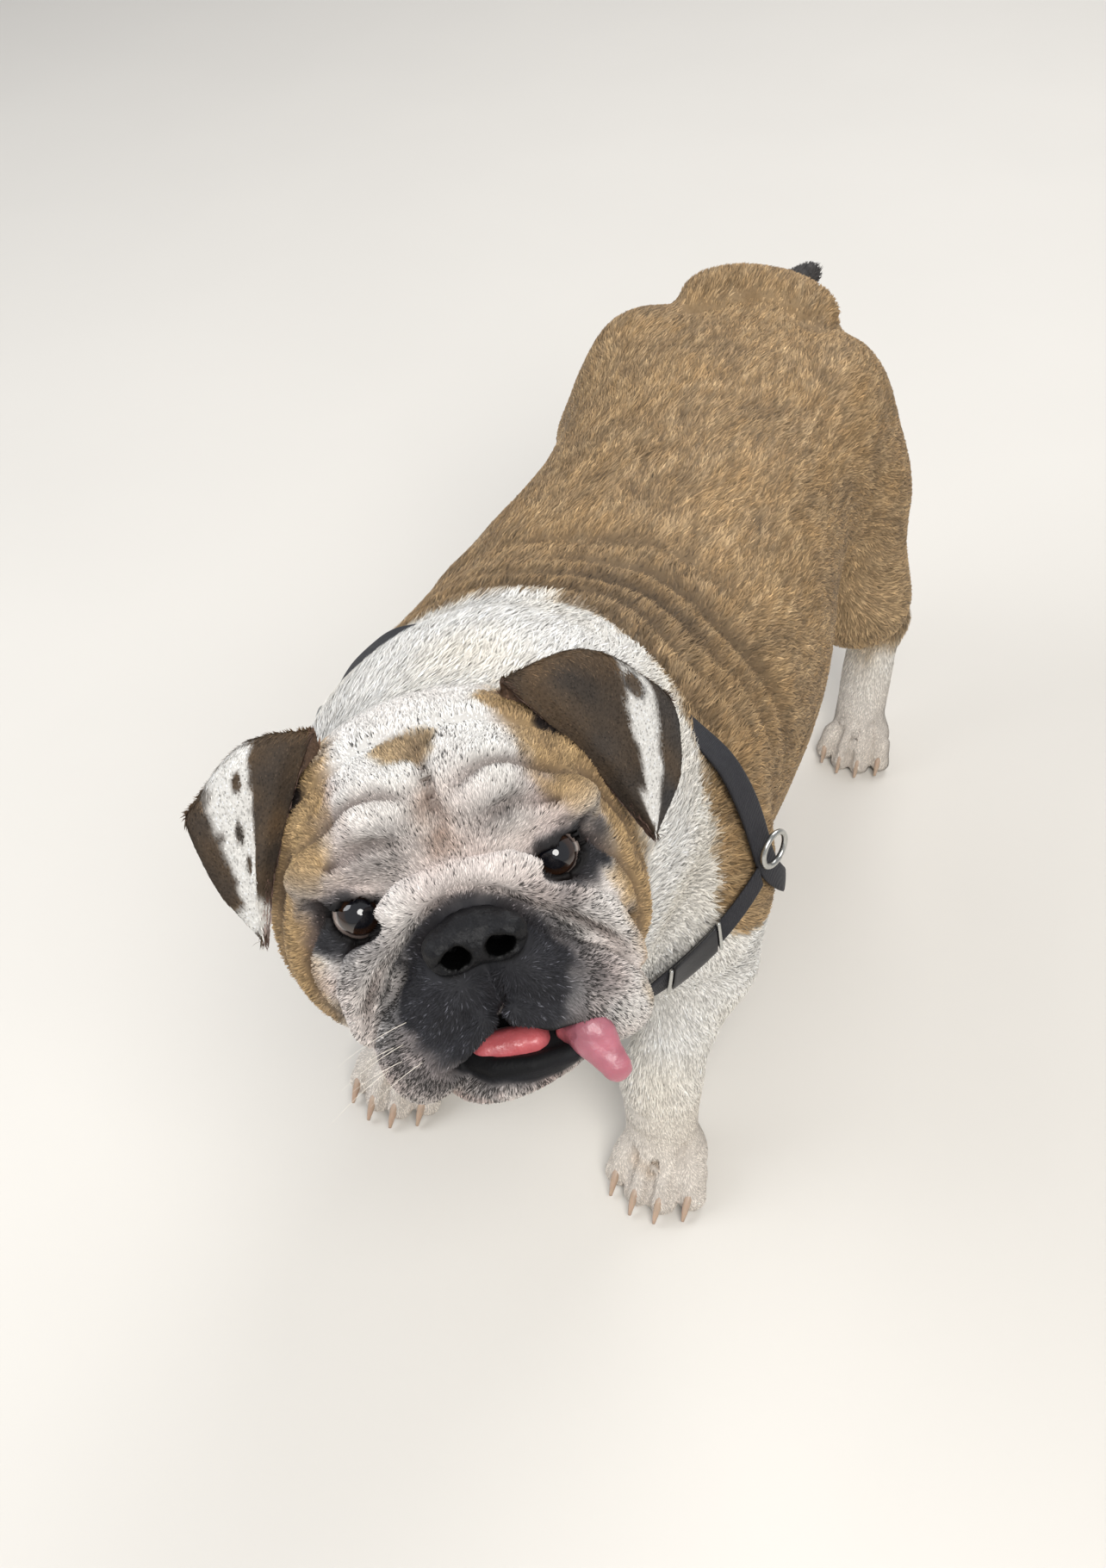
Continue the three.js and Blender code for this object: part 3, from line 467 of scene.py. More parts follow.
def haze_amount(l):
    """How dark the ticking is round the black muzzle, from 0 to 1."""
    clear = step(6.0, 10.0, line_gap(folded(l), ROPE))
    out = (1 - step(0.9, 1.7, off(l, *MUZZLE))) * step(-12, 8, l[:, 1]) * (1 - step(-2, 8, l[:, 2]))
    return np.clip(out * (0.25 + 0.75 * clear) * (1 + 0.5 * noise(l, 9, 43)), 0, 1)


def slope_of(field, p, e=0.35):
    g = np.empty_like(p)
    for k in range(3):
        a = p.copy()
        b = p.copy()
        a[:, k] += e
        b[:, k] -= e
        g[:, k] = (field(a) - field(b)) / (2 * e)
    return g


def settle(p, field, times, reach):
    """Moves places onto the surface of a field, no further than the reach."""
    home = p.copy()
    for _ in range(times):
        g = slope_of(field, p)
        s = np.maximum((g * g).sum(1), 0.3)
        p = p - g * (field(p) / s)[:, None]
        drift = p - home
        far = np.linalg.norm(drift, axis=1, keepdims=True)
        p = home + drift * np.minimum(1, reach / np.maximum(far, 1e-9))
    return p


def surface_net(field, lo, hi, cell, block=4):
    """A closed net over a field: one corner in each grid cell that the surface crosses."""
    lo = np.asarray(lo, float)
    n = (np.ceil((np.asarray(hi, float) - lo) / cell / block).astype(int)) * block + 1
    grid = np.stack(np.meshgrid(*[np.arange(0, m - 1, block) + block / 2 for m in n], indexing="ij"), -1)
    shape = grid.shape[:3]
    rough = field(lo + grid.reshape(-1, 3) * cell).reshape(shape)
    value = np.repeat(np.repeat(np.repeat(rough, block, 0), block, 1), block, 2)
    value = np.pad(value, ((0, 1),) * 3, mode="edge").astype(np.float64)
    near = np.abs(value) < block * cell * 1.5
    at = np.argwhere(near)
    value[near] = field(lo + at * cell)
    inside = value < 0
    inside[0], inside[-1] = False, False
    inside[:, 0], inside[:, -1] = False, False
    inside[:, :, 0], inside[:, :, -1] = False, False
    corner = [inside[dx:dx + n[0] - 1, dy:dy + n[1] - 1, dz:dz + n[2] - 1]
              for dx in (0, 1) for dy in (0, 1) for dz in (0, 1)]
    count = sum(c.astype(np.int8) for c in corner)
    mixed = (count > 0) & (count < 8)
    cells = np.argwhere(mixed)
    index = -np.ones(mixed.shape, int)
    index[mixed] = np.arange(len(cells))
    total = np.zeros((len(cells), 3))
    hits = np.zeros(len(cells))
    for axis in range(3):
        b, c = (axis + 1) % 3, (axis + 2) % 3
        for u in (0, 1):
            for v in (0, 1):
                s = cells.copy()
                s[:, b] += u
                s[:, c] += v
                e = s.copy()
                e[:, axis] += 1
                fa = value[tuple(s.T)]
                fb = value[tuple(e.T)]
                ia = inside[tuple(s.T)]
                ib = inside[tuple(e.T)]
                cut = ia != ib
                t = np.clip(fa / np.where(np.abs(fa - fb) < 1e-9, 1e-9, fa - fb), 0, 1)
                q = s.astype(float)
                q[:, axis] += t
                total[cut] += q[cut]
                hits[cut] += 1
    points = lo + total / np.maximum(hits, 1)[:, None] * cell
    faces = []
    for axis in range(3):
        b, c = (axis + 1) % 3, (axis + 2) % 3
        here = np.take(inside, range(n[axis] - 1), axis)
        there = np.take(inside, range(1, n[axis]), axis)
        s = np.argwhere(here != there)
        s = s[(s[:, b] > 0) & (s[:, c] > 0) & (s[:, b] < n[b] - 1) & (s[:, c] < n[c] - 1)]
        out = here[tuple(s.T)]
        quad = []
        for du, dv in ((1, 1), (0, 1), (0, 0), (1, 0)):
            o = s.copy()
            o[:, b] -= du
            o[:, c] -= dv
            quad.append(index[tuple(o.T)])
        quad = np.stack(quad, 1)
        quad[~out] = quad[~out][:, ::-1]
        faces.append(quad)
    quads = np.concatenate(faces)
    d0 = np.linalg.norm(points[quads[:, 0]] - points[quads[:, 2]], axis=1)
    d1 = np.linalg.norm(points[quads[:, 1]] - points[quads[:, 3]], axis=1)
    short = (d0 < d1)[:, None]
    one = np.where(short, quads[:, [0, 1, 2]], quads[:, [1, 2, 3]])
    two = np.where(short, quads[:, [0, 2, 3]], quads[:, [1, 3, 0]])
    return points, np.concatenate([one, two])


def refine(points, faces, chosen):
    """Splits the chosen faces in four and their neighbours to fit."""
    n = len(points)
    ends = np.sort(faces[:, [[0, 1], [1, 2], [2, 0]]], axis=2)
    key = ends[..., 0].astype(np.int64) * n + ends[..., 1]
    split = np.unique(key[chosen])
    mark = np.isin(key, split)
    middle = n + np.searchsorted(split, key)
    points = np.concatenate([points, (points[split // n] + points[split % n]) / 2])
    count = mark.sum(1)
    parts = [faces[count == 0]]
    f, m = faces[count == 3], middle[count == 3]
    parts += [np.stack([f[:, 0], m[:, 0], m[:, 2]], 1), np.stack([m[:, 0], f[:, 1], m[:, 1]], 1),
              np.stack([m[:, 2], m[:, 1], f[:, 2]], 1), m]
    for k in range(3):
        order = [k, (k + 1) % 3, (k + 2) % 3]
        pick = (count == 1) & mark[:, k]
        f, m = faces[pick][:, order], middle[pick][:, order]
        parts += [np.stack([f[:, 0], m[:, 0], f[:, 2]], 1), np.stack([m[:, 0], f[:, 1], f[:, 2]], 1)]
        pick = (count == 2) & ~mark[:, (k + 2) % 3]
        f, m = faces[pick][:, order], middle[pick][:, order]
        parts += [np.stack([f[:, 0], m[:, 0], f[:, 2]], 1), np.stack([m[:, 0], f[:, 1], m[:, 1]], 1),
                  np.stack([m[:, 0], m[:, 1], f[:, 2]], 1)]
    return points, np.concatenate(parts)


def middle_points(points, faces):
    return points[faces].mean(1)


# The skin: one coarse net over the whole dog, finer on head and feet, finest round the eyes
CELL = 6.0
NET_LOW = (-190.0, -540.0, -9.0)
NET_HIGH = (240.0, 372.0, 600.0)
SOLE_LEVEL = 0.25


def fine_zone(p, level):
    l = head_in(p)
    face = (l[:, 1] > -60) & (np.linalg.norm(l - [0, 0, -10], axis=1) < 125)
    if level == 0:
        return face | (p[:, 2] < 78)
    if level == 2:
        return (eye_gap(l) < 17) & (l[:, 1] > -10)
    toes = (p[:, 2] < 46) & ((p[:, 1] < -232) | ((p[:, 1] > 160) & (p[:, 1] < 214)))
    return (face & (l[:, 1] > -18)) | toes


def skin_net():
    points, faces = surface_net(skin_field, NET_LOW, NET_HIGH, CELL)
    points = settle(points, skin_field, 2, CELL * 0.6)
    for level in range(3):
        old = len(points)
        points, faces = refine(points, faces, fine_zone(middle_points(points, faces), level))
        points[old:] = settle(points[old:], skin_field, 2, 3.0)
        l = head_in(points)
        face = (l[:, 1] > -40) & (np.linalg.norm(l, axis=1) < 125)
        points[face] = settle(points[face], skin_field, 1, 1.5)
    points[:, 2] = np.maximum(points[:, 2], SOLE_LEVEL)
    return points, faces


SKIN_P, SKIN_F = skin_net()

# Ears: folded leaves, each a closed sheet. The key is the side, 1 for the dog's left
EARS = {
    -1: dict(top=(-44, -74, 66), low=(-74, -62, 14), fold=((-46, -62, 74), (-76, -64, 72), (-108, -58, 54)),
             mid=((-76, -42, 28), (-106, -44, 24)), tip=(-91, -30, -6)),
    1: dict(top=(46, -76, 64), low=(76, -66, 10), fold=((50, -62, 70), (88, -70, 68), (122, -76, 40)),
            mid=((78, -48, 22), (117, -58, 8)), tip=(95, -40, -15)),
}


def curve(a, b, c, d, t):
    """A smooth curve from b to c that heads for its neighbours."""
    square = (2 * a - 5 * b + 4 * c - d) * t ** 2
    return 0.5 * (2 * b + (c - a) * t + square + (3 * b - a - 3 * c + d) * t ** 3)


def ear_place(side, u, v):
    """Across the leaf by u, from the head to the tip by v."""
    e = EARS[side]
    top, low, tip = (np.array(e[k], float) for k in ("top", "low", "tip"))
    f = [np.array(x, float) for x in e["fold"]]
    m = [np.array(x, float) for x in e["mid"]]
    rows = [[top, (top + low) / 2, low], f, [m[0], (f[1] + tip) / 2, m[1]], [tip, tip, tip]]
    s = np.clip(u, 0, 1) * 2
    i = np.minimum(1, np.floor(s)).astype(int)
    t = (s - i)[:, None]
    spots = []
    for r in rows:
        first = curve(2 * r[0] - r[1], r[0], r[1], r[2], t)
        second = curve(r[0], r[1], r[2], 2 * r[2] - r[1], t)
        spots.append(np.where((i == 0)[:, None], first, second))
    w = np.clip(v, 0, 1) * 3
    j = np.minimum(2, np.floor(w)).astype(int)[:, None]
    t = w[:, None] - j
    a = curve(2 * spots[0] - spots[1], spots[0], spots[1], spots[2], t)
    b = curve(spots[0], spots[1], spots[2], spots[3], t)
    c = curve(spots[1], spots[2], spots[3], 2 * spots[3] - spots[2], t)
    return np.where(j == 0, a, np.where(j == 1, b, c))


def ear_frame(side, u, v):
    """The way out of the leaf and the way to its tip."""
    h = 0.02
    w = np.minimum(v, 0.88)
    across = ear_place(side, np.minimum(1, u + h), w) - ear_place(side, np.maximum(0, u - h), w)
    down = ear_place(side, u, w + h) - ear_place(side, u, np.maximum(0, w - h))
    n = unit(np.cross(across, down))
    return n * (1 if side > 0 else -1), unit(down)


def sheet_faces(grid):
    """Faces of a closed sheet: a grid of corners, the same grid behind it, and the rim."""
    k = grid.size
    a, b = grid[:-1, :-1].ravel(), grid[:-1, 1:].ravel()
    c, d = grid[1:, 1:].ravel(), grid[1:, :-1].ravel()
    loop = np.concatenate([grid[0], grid[1:, -1], grid[-1, -2::-1], grid[-2:0:-1, 0]])
    nxt = np.roll(loop, -1)
    rows = [(a, b, c), (a, c, d), (a + k, c + k, b + k), (a + k, d + k, c + k),
            (loop, loop + k, nxt + k), (loop, nxt + k, nxt)]
    return np.concatenate([np.stack(row, 1) for row in rows])


def ear_mesh(side, nu=26, nv=60):
    u, v = np.meshgrid(np.linspace(0, 1, nu + 1), np.linspace(0, 1, nv + 1))
    u, v = u.ravel(), v.ravel()
    p = ear_place(side, u, np.minimum(v, 0.985))
    n, _ = ear_frame(side, u, v)
    thin = (2.3 * (1 - 0.5 * v) * (0.5 + 0.5 * np.sqrt(np.clip(4 * u * (1 - u), 0, 1))))[:, None]
    round_off = 6.0 * np.sin(np.pi * u) ** 0.8 * np.sin(np.pi * np.clip((v - 0.12) / 0.88, 0, 1)) ** 0.7
    edge = -3.5 * np.exp(-((u - 0.02) / 0.08) ** 2) * step(0.2, 0.4, v)
    wave = (1.4 * noise(p, 15, 5) + round_off + edge)[:, None]
    points = np.concatenate([p + n * (thin + wave), p - n * (thin - wave)])
    faces = sheet_faces(np.arange(len(u)).reshape(nv + 1, nu + 1))
    uv = np.tile(np.stack([u, v], 1), (2, 1))
    back = np.repeat([0, 1], len(u))
    if side < 0:
        faces = faces[:, ::-1]
    return head_out(points), faces, uv, back


# Colours, the same on skin and coat
def tone(*rgb):
    return np.array(rgb, float) / 255


FAWN = tone(152, 124, 88)
FAWN_LIGHT = tone(182, 156, 120)
FAWN_DARK = tone(96, 78, 58)
WHITE = tone(234, 231, 225)
CREAM = tone(226, 212, 188)
FACE_WHITE = tone(222, 216, 210)
PINK = tone(206, 176, 166)
BLACK = tone(36, 36, 39)
TAN = tone(178, 149, 108)
EAR_DARK = tone(62, 54, 47)
GREY = tone(92, 88, 86)


def blend(a, b, t):
    return a + (b - a) * np.clip(t, 0, 1)[:, None]


def body_colours(p, rough):
    x, y, z = p.T
    grain = noise(p * [1.0, 0.35, 1.0], 3.2, 2)
    soft = noise(p, 26, 4)
    out = np.tile(WHITE, (len(p), 1))
    out = blend(out, CREAM, 0.10 + 0.35 * noise(p, 45, 9))
    out = blend(out, tone(214, 202, 190), (1 - step(10, 120, z)) * 0.7)
    edge = mix(-118, -140 - 0.0047 * x * x, step(205, 268, z))
    fawn = step(-9, 9, y - edge + 7 * rough + 5 * soft)
    under = (1 - step(150, 205, z + 12 * soft)) * (1 - step(90, 130, y))
    shank = 1 - step(84, 116, z + 9 * soft + 3 * rough)
    fawn = fawn * (1 - under) * (1 - shank)
    coat = blend(np.tile(FAWN, (len(p), 1)), FAWN_LIGHT, 0.35 + 0.5 * grain + 0.25 * soft)
    coat = blend(coat, FAWN_DARK, 0.16 + 0.28 * noise(p * [1, 0.4, 1], 5, 8) + 0.22 * soft)
    coat = blend(coat, FAWN_LIGHT, 0.45 * (1 - step(200, 320, z)))
    s, turn, wave = around_neck(p)
    # Painted shade: the fawn is darkened down each fold over the shoulders, more where the fold is deeper.
    for at, wide, deep, side in NECK_FOLDS:
        fade = step(215, 300, z) * np.exp(-((turn - side) / 1.0) ** 2) * deep / 9
        coat = blend(coat, FAWN_DARK * 0.8, fade * np.exp(-((s - at - wave - 3) / (wide * 0.8)) ** 2))
    out = blend(out, coat, fawn)
    patch = step(4, 14, x - 108) * step(-214, -200, y) * step(255, 285, z)
    patch = patch * (1 - step(-152, -140, y))
    out = blend(out, coat, 0.9 * patch * step(-0.5, 0.2, rough + 0.3))
    tail = off(p, [6, 330, 376], [20, 24, 18])
    out = blend(out, GREY * 0.75, 1 - step(0.8, 1.5, tail + 0.25 * rough))
    spot = off(np.abs(p), [98, 250, 26], [14, 14, 9])
    return blend(out, tone(170, 140, 110), (1 - step(0.5, 1.3, spot)) * (y < 0) * 0.5)


def tan_patches(l, a, rough):
    """Golden temples and cheeks, and how much of them shows."""
    f, u = l[:, 1], l[:, 2]
    temple = step(-8, 8, a - (50 - 0.25 * (u - 30)) + 5 * rough) * step(8, 30, u)
    cheek = step(-7, 7, a - 70 + 4 * rough) * (1 - step(8, 34, u))
    jowl = (1 - step(-46, -30, f)) * (1 - step(40, 60, u)) * step(-90, -60, f + 60)
    colour = blend(np.tile(TAN, (len(l), 1)), FAWN_DARK, 0.2 + 0.3 * noise(l, 8, 12))
    return colour, np.clip(np.maximum(np.maximum(temple, cheek), jowl), 0, 1)


def face_colours(p, l, rough):
    a = np.abs(l[:, 0])
    f, u = l[:, 1], l[:, 2]
    face = blend(np.tile(FACE_WHITE, (len(p), 1)), PINK, 0.22 + 0.5 * noise(l, 20, 11))
    face = blend(face, GREY * 1.5, 0.08 + 0.35 * noise(l, 14, 31))
    tan, golden = tan_patches(l, a, rough)
    face = blend(face, tan, golden)
    crown = (1 - step(32, 46, a + 5 * rough)) * step(18, 60, u) * 0.8
    face = blend(face, WHITE, crown)
    brow = off(l, [-6, -30, 62], [19, 13, 14])
    face = blend(face, tan * 0.9, (1 - step(0.6, 1.1, brow + 0.3 * rough)) * 0.9)
    left = off(l, [52, -66, 62], [22, 18, 22])
    face = blend(face, tan, 1 - step(0.8, 1.15, left + 0.2 * rough))
    both = np.stack([a, f, u], 1)
    eye = off(both, [51, -8, -2], [25, 28, 17])
    face = blend(face, BLACK, (1 - step(0.62, 1.15, eye + 0.22 * rough)) * 0.94)
    # Painted shade: darker down the furrow of the brow and in the creases above the eyes.
    furrow_shade = np.exp(-((l[:, 0] + 2) / 9) ** 2) * step(14, 21, u) * (1 - step(34, 58, u))
    face = blend(face, tone(140, 114, 98), 0.6 * furrow_shade * (1 + 0.6 * rough))
    shade = np.exp(-((a - 26) / 15) ** 2) * step(14, 24, u) * (1 - step(28, 44, u))
    face = blend(face, GREY * 1.2, 0.40 * shade * (1 + rough))
    rope_gap = line_gap(folded(l), ROPE)
    rope = np.exp(-(rope_gap / 8.5) ** 2)
    face = blend(face, tone(232, 222, 216), 0.75 * rope * step(-14, 0, f))
    clear = step(6.0, 10.0, rope_gap + rough + 5 * (f < 0))
    under_rope = (1 - step(4, 9, u)) * step(8, 18, f)
    under_rope = under_rope * np.maximum(clear, 1 - step(9, 14, a + 20 * (u > 9)))
    muzzle = off(l, *MUZZLE) + 0.10 * rough
    face = blend(face, BLACK, (1 - step(0.80, 1.02, muzzle)) * under_rope)
    face = blend(face, BLACK * 1.3, 0.62 * haze_amount(l))
    face = blend(face, BLACK * 0.9, 1 - step(6.0, 9.5, line_gap(l, LIP_ROLL) + rough))
    # Painted shade: the skin in the mouth hollow is darkened.
    mouth = egg(l, [7, 18, -67], [33, 26, 14])
    face = blend(face, BLACK * 0.55, 1 - step(-2, 1.0, mouth))
    low = (1 - step(-88, -82, u)) * (f > -30) * (a < 62) * step(-20, 0, f)
    face = blend(face, PINK, low * 0.5 * step(-0.2, 0.5, rough))
    # Painted shade in the deep creases of the face.
    face = blend(face, tone(58, 44, 38), 0.9 * crease_amount(l))
    # Painted shade: the nostrils are painted near black, to read as holes.
    nostril = egg(folded(l), [11, 40, -17], [10, 24, 8])
    face = blend(face, tone(5, 5, 6), 1 - step(0, 2, nostril))
    # Painted shade at the opening of the ear.
    ear_canal_shade = off(both, [63, -60, 50], [9, 14, 12])
    face = blend(face, tone(30, 24, 22), 1 - step(0.6, 1.2, ear_canal_shade))
    lids = 1 - step(EYE_RADIUS + 2.0, EYE_RADIUS + 4.5, eye_gap(l))
    return blend(face, tone(16, 14, 14), lids)


def markings(p):
    l = head_in(p)
    rough = noise(p, 7, 6)
    on = step(-104, -86, l[:, 1] + 6 * rough) * (np.linalg.norm(l, axis=1) < 175)
    return np.clip(blend(body_colours(p, rough), face_colours(p, l, rough), on), 0.01, 1)


def ear_colours(side, uv, back, p):
    """Dark leaves with a white streak, spotted on the right ear."""
    u, v = uv.T
    r = noise(p, 6, 21)
    out = np.tile(EAR_DARK, (len(uv), 1))
    if side < 0:
        streak = step(0.40, 0.46, u + 0.05 * r) * (1 - step(0.76, 0.84, u + 0.05 * r))
        end = step(0.80, 0.86, v) * (1 - step(0.93, 0.97, v))
        out = blend(out, WHITE, np.maximum(streak * step(0.24, 0.36, v), end))
        for cu, cv in ((0.55, 0.46), (0.62, 0.60), (0.57, 0.72)):
            out = blend(out, EAR_DARK, 1 - step(0.03, 0.055, np.hypot(u - cu, (v - cv) * 1.2)))
    else:
        streak = step(0.58, 0.64, u + 0.04 * r) * (1 - step(0.78, 0.85, u + 0.05 * r))
        end = step(0.80, 0.86, v) * (1 - step(0.94, 0.97, v)) * step(0.3, 0.5, u)
        out = blend(out, WHITE, np.maximum(streak * step(0.30, 0.40, v), end))
        out = blend(out, GREY * 0.8, 1 - step(0.05, 0.085, np.hypot(u - 0.70, (v - 0.44) * 1.3)))
        out = blend(out, GREY * 0.7, step(0.80, 0.86, u))
    brown = 0.30 + 0.5 * noise(p, 12, 33) + 0.5 * (1 - step(0.2, 0.5, v))
    dark = out.mean(1) < 0.35
    out = np.where(dark[:, None], blend(out, tone(112, 88, 62), brown * 0.8), out)
    out = blend(out, TAN * 0.75, (1 - step(0.10, 0.30, v)) * 0.75)
    return np.clip(blend(out, tone(96, 74, 68), back * 0.6), 0.01, 1)


# Meshes and materials
def linear(c):
    """Screen colours as light."""
    return np.where(c <= 0.04045, c / 12.92, ((c + 0.055) / 1.055) ** 2.4)


def make_object(name, points, faces, colours=None, extra=None, smooth=True, row=True):
    me = bpy.data.meshes.new(name)
    co = to_row(points) if row else points
    n, m = len(co), len(faces)
    me.vertices.add(n)
    me.vertices.foreach_set("co", np.ascontiguousarray(co, np.float32).ravel())
    me.loops.add(m * 3)
    me.loops.foreach_set("vertex_index", np.ascontiguousarray(faces, np.int32).ravel())
    me.polygons.add(m)
    me.polygons.foreach_set("loop_start", np.arange(0, m * 3, 3, dtype=np.int32))
    me.polygons.foreach_set("use_smooth", np.full(m, smooth))
    me.update(calc_edges=True)
    if colours is not None:
        layer = me.color_attributes.new("coat", "FLOAT_COLOR", "POINT")
        data = np.ones((n, 4), np.float32)
        data[:, :3] = linear(colours)
        layer.data.foreach_set("color", data.ravel())
    for key, value in (extra or {}).items():
        layer = me.attributes.new(key, "FLOAT", "POINT")
        layer.data.foreach_set("value", np.ascontiguousarray(value, np.float32))
    me.validate()
    ob = bpy.data.objects.new(name, me)
    bpy.context.scene.collection.objects.link(ob)
    return ob


class Shader:
    """A material with grain, roughness and bump worked out from the object's own places."""

    def __init__(self, name):
        self.mat = bpy.data.materials.new(name)
        self.mat.use_nodes = True
        self.tree = self.mat.node_tree
        self.bsdf = self.tree.nodes["Principled BSDF"]
        self.normal = None
        self.place = self.node("ShaderNodeTexCoord").outputs["Object"]

    def node(self, kind, **inputs):
        n = self.tree.nodes.new(kind)
        for k, v in inputs.items():
            n.inputs[k.replace("_", " ")].default_value = v
        return n

    def link(self, a, b):
        self.tree.links.new(a, b)

    def layer(self, name, output):
        n = self.node("ShaderNodeAttribute")
        n.attribute_name = name
        return n.outputs[output]

    def one_colour(self, colour):
        n = self.node("ShaderNodeRGB")
        n.outputs[0].default_value = (*linear(tone(*colour)), 1)
        return n.outputs[0]

    def grain(self, scale, detail=4.0, stretch=(1, 1, 1)):
        m = self.node("ShaderNodeMapping")
        m.inputs["Scale"].default_value = stretch
        self.link(self.place, m.inputs["Vector"])
        n = self.node("ShaderNodeTexNoise", Scale=scale, Detail=detail)
        self.link(m.outputs["Vector"], n.inputs["Vector"])
        return n.outputs["Fac"]

    def spread(self, value, a, b):
        n = self.node("ShaderNodeMapRange")
        self.link(value, n.inputs["Value"])
        n.inputs["To Min"].default_value = a
        n.inputs["To Max"].default_value = b
        return n.outputs["Result"]

    def shaded(self, colour, factor):
        n = self.tree.nodes.new("ShaderNodeMix")
        n.data_type = "RGBA"
        n.blend_type = "MULTIPLY"
        n.inputs[0].default_value = 1.0
        self.link(colour, n.inputs[6])
        g = self.node("ShaderNodeCombineColor")
        for k in ("Red", "Green", "Blue"):
            self.link(factor, g.inputs[k])
        self.link(g.outputs["Color"], n.inputs[7])
        self.link(n.outputs[2], self.bsdf.inputs["Base Color"])

    def rough(self, value):
        self.link(value, self.bsdf.inputs["Roughness"])

    def bump(self, value, strength, distance):
        n = self.node("ShaderNodeBump", Strength=strength, Distance=distance)
        self.link(value, n.inputs["Height"])
        if self.normal is not None:
            self.link(self.normal, n.inputs["Normal"])
        self.link(n.outputs["Normal"], self.bsdf.inputs["Normal"])


HAIR_GRAIN = (1, 0.25, 1)


def hairy(name, rough=(0.5, 0.75), bump=0.15, lean=False):
    """Hair or haired skin; with lean, each tuft is lit as the skin under it is."""
    s = Shader(name)
    if lean:
        s.normal = s.layer("lean", "Vector")
    s.shaded(s.layer("coat", "Color"), s.spread(s.grain(700, 3, HAIR_GRAIN), 0.72, 1.22))
    s.rough(s.spread(s.grain(90), *rough))
    s.bump(s.grain(900, 3, HAIR_GRAIN), bump, 0.0006)
    s.bsdf.inputs["Specular IOR Level"].default_value = 0.18
    return s.mat


def plain(name, colour, grain=(60, 0.85, 1.1), rough=(0.4, 0.6), bump=(400, 0.3, 0.0004), **sockets):
    """One colour, or with no colour the mesh's own layer, with grain, roughness and bump."""
    s = Shader(name)
    base = s.layer("coat", "Color") if colour is None else s.one_colour(colour)
    s.shaded(base, s.spread(s.grain(grain[0]), grain[1], grain[2]))
    s.rough(s.spread(s.grain(grain[0] * 1.7), *rough))
    s.bump(s.grain(bump[0]), bump[1], bump[2])
    for k, v in sockets.items():
        s.bsdf.inputs[k.replace("_", " ")].default_value = v
    return s.mat


def piece(ob, mat, slot, *nodes):
    ob.data.materials.clear()
    ob.data.materials.append(mat)
    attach(ob, "root")
    if nodes:
        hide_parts(*nodes)
    return ob


def gather(made):
    """Several meshes as one."""
    points, faces, base = [], [], 0
    for a, b in made:
        points.append(a)
        faces.append(b + base)
        base += len(a)
    return np.concatenate(points), np.concatenate(faces)


# Painted shade: the skin is darker than the coat over it, as the coat shades it.
SKIN_SHADE = 0.86
EAR_MESH = {side: ear_mesh(side) for side in (-1, 1)}


def make_skin():
    points, faces = gather([(SKIN_P, SKIN_F)] + [EAR_MESH[side][:2] for side in (-1, 1)])
    colours = [markings(SKIN_P)]
    for side in (-1, 1):
        spots, _, uv, back = EAR_MESH[side]
        colours.append(ear_colours(side, uv, back, spots))
    skin = make_object("skin", points, faces, np.concatenate(colours) * SKIN_SHADE)
    flesh = ["head", "lower_jaw", "ear_left", "ear_right", "neck", "chest", "hindquarters", "tail"]
    for end in ("fore", "hind"):
        flesh += [f"{end}{part}_{side}" for part in ("leg", "paw") for side in ("left", "right")]
    piece(skin, hairy("skin_coat", rough=(0.55, 0.8), bump=0.5), "coat_white", *flesh)


make_skin()


# The coat: thin blades that lie along the body, rooted on the skin
def lie_of(p, n):
    """The lie of the hair: back along the body, down the legs, out from the face."""
    l = head_in(p)
    x, y, z = p.T
    flow = np.tile([0.0, 1.0, -0.22], (len(p), 1))
    flow[:, 2] -= 0.5 * step(0, 130, np.abs(x)) * (1 - step(300, 380, z))
    leg = (1 - step(150, 230, z)) * np.where(y > 100, 1 - step(190, 250, z), 1.0)
    flow = mix(flow, np.stack([0.1 * np.sign(x), 0.12 + 0 * y, -1 + 0 * z], 1), leg[:, None])
    foot = 1 - step(32, 60, z)
    flow = mix(flow, np.tile([0.0, -1.0, -0.35], (len(p), 1)), foot[:, None])
    breast = (1 - step(-250, -190, y)) * (1 - step(250, 330, z))
    flow = mix(flow, np.stack([0.25 * np.sign(x - 20), 0.1 + 0 * y, -1 + 0 * z], 1), breast[:, None])
    a = l[:, 0]
    away = np.stack([a * 0.9, -28 - 0.6 * np.abs(a), l[:, 2] + 16], 1)
    away = unit(away + [0, -0.2, 0]) @ HEAD
    on = step(-110, -70, l[:, 1]) * (np.linalg.norm(l, axis=1) < 180)
    flow = mix(unit(flow), away, on[:, None])
    flow = flow - n * (flow * n).sum(1, keepdims=True)
    return unit(flow)


def face_normals(points, faces):
    a, b, c = points[faces[:, 0]], points[faces[:, 1]], points[faces[:, 2]]
    n = np.cross(b - a, c - a)
    return n, np.linalg.norm(n, axis=1) / 2


def vertex_normals(points, faces):
    n, _ = face_normals(points, faces)
    out = np.zeros_like(points)
    for k in range(3):
        for c in range(3):
            out[:, c] += np.bincount(faces[:, k], n[:, c], len(points))
    return unit(out)


